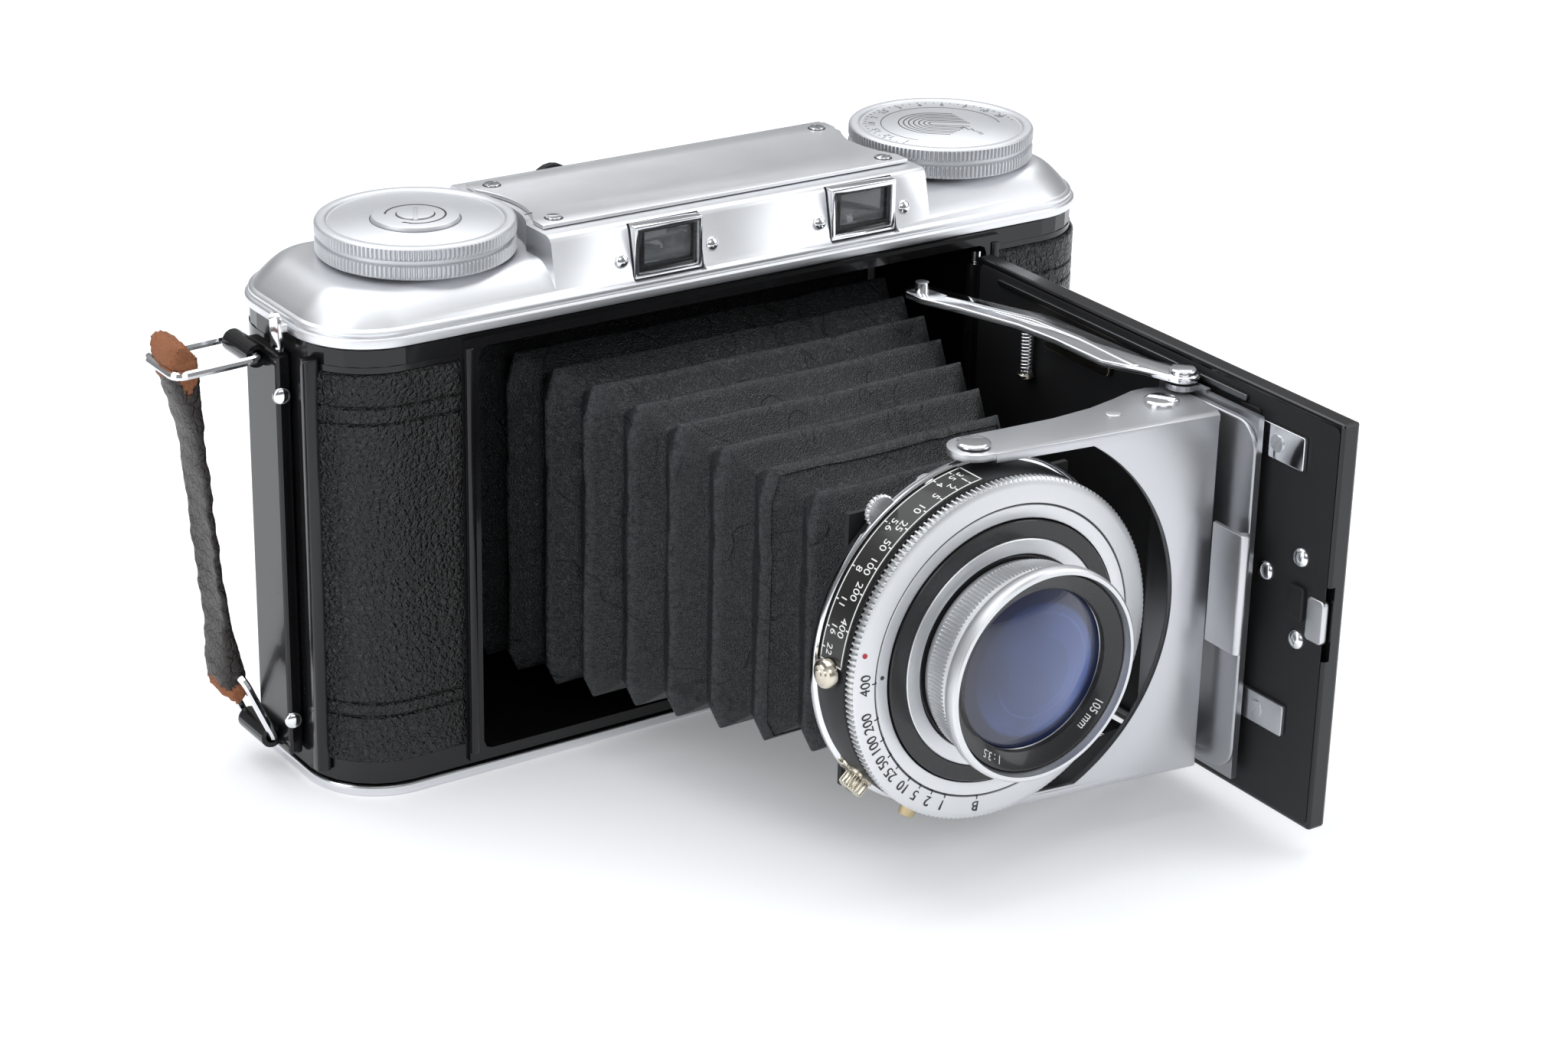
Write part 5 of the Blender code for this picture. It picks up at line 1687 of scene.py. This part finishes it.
    def barrel(self) -> None:
        """Build the knurled barrel, the front ring and the black ring inside it."""
        bite = 0.3
        rows = (
            (16.9, 106.95), (17.5, 106.9), (17.85, 106.6), (17.9, 106.2), (17.9, 104.9), (17.6, 104.3),
            (16.6, 103.75), (16.0, 103.3), (15.9, 102.4), (16.35, 102.1), (16.5, 101.9, bite),
            (16.5, 98.5, bite), (16.3, 98.25), (15.9, 98.1), (15.9, 96.9), (13.6, 96.9), (13.6, 103.0),
            (16.4, 104.7), (16.75, 105.9),
        )
        self.ring(rows, teeth=150).piece(
            "front_cell_ring", RING_ALUMINIUM, "lens", ["front_cell"], crease=35.0
        )
        inner, outer, foot, head = 13.75, 16.05, 104.25, 105.6
        rows = ((13.5, 103.55), (inner, foot), (outer, head), (16.35, 105.65), (16.35, 104.8), (13.7, 103.2))
        self.ring(rows, 120).piece(
            "black_name_ring", BAND_ENAMEL, "lens", ["name_ring"]
        )
        slope = (head - foot) / (outer - inner)
        marks = Form()
        for text, angle in (("1 : 3.5", 236.0), ("105 mm", 318.0)):
            place = on_face((0.0, 0.0), 14.95, angle, 0.0)

            def lifted(point: Point, mapping: Callable[[Point], Point] = place) -> Point:
                """Put one corner on the sloping ring."""
                x, y, z = mapping(point)
                return x, y, z + (foot + 0.05) + (math.hypot(x, y) - inner) * slope

            marks.join(Mark(text, 1.75, lifted).form(0.06))
        marks.mapped(faced_front).piece("name_ring_numbers", WHITE_MARKS, "lens")

    def glass(self) -> None:
        """Build the lens: a coated front element, with the inner element and its mount behind."""
        outer = [(r, 105.5 - 0.0122 * r * r) for r in np.linspace(0.0, 13.45, 16)]
        inner = [(r, 103.9 - 0.0145 * r * r) for r in np.linspace(13.45, 0.0, 16)]
        self.ring(outer + inner, 96).piece(
            "front_element", LENS_GLASS, "lens", ["front_glass"], crease=50.0
        )
        second = [(0.0, 98.9)] + [(r, 98.9 + 0.019 * r * r) for r in np.linspace(1.0, 11.4, 12)]
        second += [(11.5, 97.2), (0.0, 97.0)]
        self.ring(second, 96).piece("inner_element", INNER_COATING_AND_REFLECTION, "lens", crease=50.0)
        rows = ((11.45, 101.4), (12.2, 101.5), (13.55, 102.4), (13.58, 98.0), (11.45, 97.6))
        self.ring(rows, 96).piece("inner_mount", BLUE_MOUNT, "lens")

    def levers(self) -> None:
        """Build the aperture tab with its stop, the sockets and the cocking button."""
        rows = ((0.0, 0.55), (2.5, 0.55), (2.75, 0.4, 0.3), (2.75, -0.4, 0.3), (2.5, -0.55), (0.0, -0.55))
        turned(rows, Axis.FRONT, teeth=22).moved(*self.spot(29.9, 126.0, 85.9)).piece(
            "aperture_tab", SATIN_CHROME, "aperture", ["aperture_lever"], bevel=0.04
        )
        self.radial(
            [(0.0, 1.1), (0.75, 1.1), (0.75, 3.0), (1.7, 3.0), (2.1, 2.75), (2.2, 2.5, 0.22),
             (2.2, 0.8, 0.22), (2.0, 0.5), (2.35, 0.35), (2.35, -0.4), (0.0, -0.4)],
            222.0, 88.4, teeth=26,
        ).piece("flash_socket", NICKEL, "lens", ["sync_socket"])
        self.radial(
            [(0.0, 1.0), (0.8, 1.0), (0.8, 2.5), (1.2, 2.5), (1.35, 2.3), (1.35, -0.3), (0.0, -0.3)],
            247.0, 88.4, steps=48,
        ).piece("release_socket", BRASS, "lens", ["cable_socket"])
        self.radial(
            [(0.0, 2.7), (0.7, 2.65), (0.85, 2.45), (1.5, 2.35), (1.65, 2.1), (2.2, 1.9), (2.4, 1.5),
             (2.4, 0.5), (1.2, 0.4), (1.2, -0.2), (0.0, -0.2)],
            177.5, 90.2, steps=64,
        ).piece("cocking_knob", NICKEL, "cocking", ["cocking_button"])
        flat_rivet(1.5, 0.5).aimed((-0.35, 0.0, 0.94), self.spot(28.75, 108.0, 85.6)).piece(
            "aperture_stop", SATIN_CHROME, "lens"
        )

    def radial(
        self, rows: Sequence[Sequence[float]], degrees: float, depth: float, steps: int = 96, teeth: int = 0
    ) -> Form:
        """Turn a profile that stands out from the board's side at an angle.

        Args:
            rows: the profile.
            degrees: angle round the lens axis.
            depth: its distance towards the front.
            steps: number of steps round it, when it has no teeth.
            teeth: number of teeth.

        Returns:
            The form in its place.
        """
        angle = math.radians(degrees)
        form = turned(rows, steps=steps, teeth=teeth)
        return form.aimed((math.cos(angle), 0.0, math.sin(angle)), self.spot(28.95, degrees, depth))


@dataclass(frozen=True)
class HandStrap:
    """Worn leather strap between two wire loops, with the bar that holds them."""

    centre_y: float = 3.6
    half_width: float = 4.3
    upper: Flat = (-96.4, 74.7)
    lower: Flat = (-86.9, 18.7)

    def build(self) -> None:
        """Build both halves of the strap and the latch bar's details."""
        middle = 0.52
        for name, first, last, still, held in (
            ("upper", 0.0, middle, 0.30, 0.08), ("lower", middle, 1.0, 0.76, 0.94),
        ):
            form, torn = self.half(first, last)
            item = form.piece(
                f"hand_strap_{name}", STRAP_HIDE, "latch", ["strap"], crease=70.0, values={"torn": torn}
            )
            item.parent = None
            start, end = [(x * UNIT, 0.0, z * UNIT) for x, z in (self.point(still), self.point(held))]
            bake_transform(item)
            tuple(start)
            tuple(end)
        self.bar()

    def point(self, share: float) -> Flat:
        """Middle of the strap at a share of its length."""
        start = (self.upper[0] + 1.6, self.upper[1] + 4.6)
        end = (self.lower[0] - 0.4, self.lower[1] - 4.6)
        bow = 1.6 * math.sin(math.pi * share)
        return start[0] + (end[0] - start[0]) * share + bow * 0.6, start[1] + (end[1] - start[1]) * share

    def half(self, first: float, last: float) -> tuple[Form, list[float]]:
        """Skin one half of the strap.

        Args:
            first: share of the strap's length where it starts.
            last: share where it ends.

        Returns:
            The closed form and how torn each of its corners is.
        """
        thickness = (
            (0.0, 0.6), (0.01, 1.5), (0.04, 2.5), (0.10, 2.4), (0.17, 1.6), (0.26, 0.85), (0.5, 0.7),
            (0.76, 0.8), (0.86, 1.6), (0.94, 2.2), (0.98, 1.6), (1.0, 0.5),
        )
        shares = np.linspace(first, last, 60)
        around = 40
        points, torn = [], []
        for share in shares:
            x, z = self.point(float(share))
            thick = float(np.interp(share, *zip(*thickness)))
            tip = max(0.0, 1.0 - share / 0.17, 1.0 - (1.0 - share) / 0.10)
            wavy = 1.0 + 0.06 * math.sin(37.0 * share) + 0.05 * math.sin(91.0 * share + 1.0)
            width = self.half_width * wavy
            curl = 0.5 * math.sin(7.0 * share + 0.4)
            for k in range(around):
                turn = math.tau * k / around
                cos, sin = math.cos(turn), math.sin(turn)
                across = width * math.copysign(abs(sin) ** 0.45, sin)
                out = thick * math.copysign(abs(cos) ** 0.4, cos)
                ragged = math.sin(23.0 * share * 7.0 + 3.0 * turn) * math.sin(61.0 * share + 5.0 * turn)
                ragged *= 0.35
                edge = max(0.0, abs(sin) - 0.93) / 0.07
                out += curl * (across / width) ** 2 + ragged * (0.25 + 1.1 * tip)
                across += ragged * (0.5 + tip) * edge
                points.append((x + out, self.centre_y + across, z + 0.5 * ragged * tip))
                frayed = 0.30 * edge * (0.6 + 0.6 * math.sin(19.0 * share))
                torn.append(min(1.0, 0.85 * tip + frayed + (0.1 if cos < 0.0 else 0.0)))
        return Form(points, skin(len(shares), around) + ends(len(shares), around)), torn

    def bar(self) -> None:
        """Build the bar's rivets and the chrome ear above it, and finish the bar and its loops."""
        for name, z in (("upper", 69.5), ("lower", 11.0)):
            rivet(1.5, 0.8).aimed((-0.25, -1.0, 0.0), (-79.6, -5.55, z)).piece(
                f"bar_rivet_{name}", POLISHED, "latch"
            )
        low, high = 77.4, 83.6
        outline = [(-6.4, low), (-3.2, low), (-3.0, high - 1.5)]
        outline += [*arc((-4.6, high - 1.6), 1.6, 0.0, 180.0, 10), (-6.6, low + 1.0)]
        prism(outline, -80.1, -79.4, Plane.YZ).piece("chrome_ear_upper", POLISHED, "body", bevel=0.15)
        finish_nodes({"latch_bar": GLOSS_ENAMEL, "wire_loop_upper": POLISHED, "wire_loop_lower": POLISHED})


@dataclass(frozen=True)
class Studio:
    """Plain pale table, soft lights and the camera that looks at the object."""

    eye: Point = (-0.33927, -0.52967, 0.29756)
    forward: Point = (0.522, 0.758, -0.391)
    right: Point = (0.8284, -0.5594, 0.0214)
    lens_mm: float = 80.86
    table: float = 3.0
    sky: float = 0.46

    def build(self) -> None:
        """Set the table, lights, sky and camera."""
        self.lay_table()
        self.hang_lights()
        self.paint_sky()
        self.set_camera()

    def lay_table(self) -> None:
        """Lay a large pale table top under the camera."""
        recipe = Recipe("table_white")
        cloud = recipe.noise(recipe.place(), 0.4, 2.0)
        recipe.surface(
            base_color=recipe.blended(cloud, (0.88, 0.885, 0.90), (0.90, 0.905, 0.92)),
            roughness=0.5 + cloud * 0.05, specular_ior_level=0.2,
            emission_color=(0.96, 0.98, 1.0), emission_strength=0.2,
        )
        half = self.table
        mesh = bpy.data.meshes.new("table")
        corners = [(x, y, 0.0) for x, y in rectangle(-half, half, -half, half)]
        mesh.from_pydata(corners, [], [(0, 1, 2, 3)])
        mesh.materials.append(recipe.material)
        table = bpy.data.objects.new("table", mesh)
        bpy.context.scene.collection.objects.link(table)

    @staticmethod
    def lamp(
        name: str, spot: Point, aim: Point, width: float, height: float, power: float, tone: Colour
    ) -> None:
        """Hang one soft rectangular lamp.

        Args:
            name: its name.
            spot: where it hangs.
            aim: the point that it faces.
            width: its width.
            height: its height.
            power: its power in watts.
            tone: its colour.
        """
        light = bpy.data.lights.new(name, "AREA")
        light.shape = "RECTANGLE"
        light.size, light.size_y = width, height
        light.energy = power
        light.color = tone
        holder = bpy.data.objects.new(name, light)
        bpy.context.scene.collection.objects.link(holder)
        holder.location = spot
        holder.rotation_euler = (Vector(aim) - Vector(spot)).to_track_quat("-Z", "Y").to_euler()

    def hang_lights(self) -> None:
        """Hang a large top lamp, a lamp on either side and a weak front fill."""
        cool = (0.96, 0.98, 1.0)
        self.lamp("top_lamp", (0.05, 0.25, 1.05), (0.0, -0.02, 0.03), 1.7, 1.2, 13.0, cool)
        self.lamp("left_lamp", (-1.05, -0.15, 0.55), (0.0, -0.03, 0.04), 0.6, 1.0, 5.0, cool)
        self.lamp("right_lamp", (0.95, -0.75, 0.6), (0.0, -0.05, 0.04), 0.7, 0.9, 4.5, cool)
        self.lamp("front_lamp", (-0.35, -1.15, 0.85), (0.0, -0.05, 0.04), 0.9, 0.5, 3.0, cool)

    def paint_sky(self) -> None:
        """Light everything from all round, brighter overhead."""
        world = bpy.data.worlds.new("studio")
        world.use_nodes = True
        bpy.context.scene.world = world
        tree = world.node_tree
        back = tree.nodes["Background"]
        coordinates = tree.nodes.new("ShaderNodeTexCoord")
        parts = tree.nodes.new("ShaderNodeSeparateXYZ")
        ramp = tree.nodes.new("ShaderNodeValToRGB")
        ramp.color_ramp.elements[0].position = 0.0
        ramp.color_ramp.elements[0].color = (0.40, 0.41, 0.43, 1.0)
        ramp.color_ramp.elements[1].position = 0.75
        ramp.color_ramp.elements[1].color = (1.0, 1.0, 1.0, 1.0)
        tree.links.new(coordinates.outputs["Generated"], parts.inputs[0])
        tree.links.new(parts.outputs["Z"], ramp.inputs[0])
        tree.links.new(ramp.outputs[0], back.inputs["Color"])
        back.inputs["Strength"].default_value = self.sky

    def set_camera(self) -> None:
        """Place the camera on its tripod."""
        data = bpy.data.cameras.new("view_camera")
        data.sensor_width = 36.0
        data.sensor_fit = "HORIZONTAL"
        data.lens = self.lens_mm
        data.clip_start = 0.01
        holder = bpy.data.objects.new("view_camera", data)
        bpy.context.scene.collection.objects.link(holder)
        ahead = Vector(self.forward).normalized()
        side = (Vector(self.right) - ahead * Vector(self.right).dot(ahead)).normalized()
        over = side.cross(ahead)
        turn = Matrix((side, over, -ahead)).transposed().to_4x4()
        holder.matrix_world = Matrix.Translation(self.eye) @ turn
        bpy.context.scene.camera = holder
        bpy.context.scene.view_settings.view_transform = "Standard"


def main() -> None:
    """Build the studio and every sub-assembly of the camera in order."""
    logging.basicConfig(level=logging.INFO, format="%(name)s: %(message)s")
    assemblies = (
        Studio(), Housing(), Knob(KnobTop.WINDING, KNOB_LEFT, "winder", "advance_knob"),
        Knob(KnobTop.FOCUS, KNOB_RIGHT, "focus_dial", "focus_knob"), Covering(-1.0), Covering(1.0), Back(),
        Bellows(), Bed(), Bracket(), Shutter(), HandStrap(),
    )
    for assembly in assemblies:
        LOG.info("building %s", type(assembly).__name__)
        assembly.build()


if __name__ == "__main__":
    main()
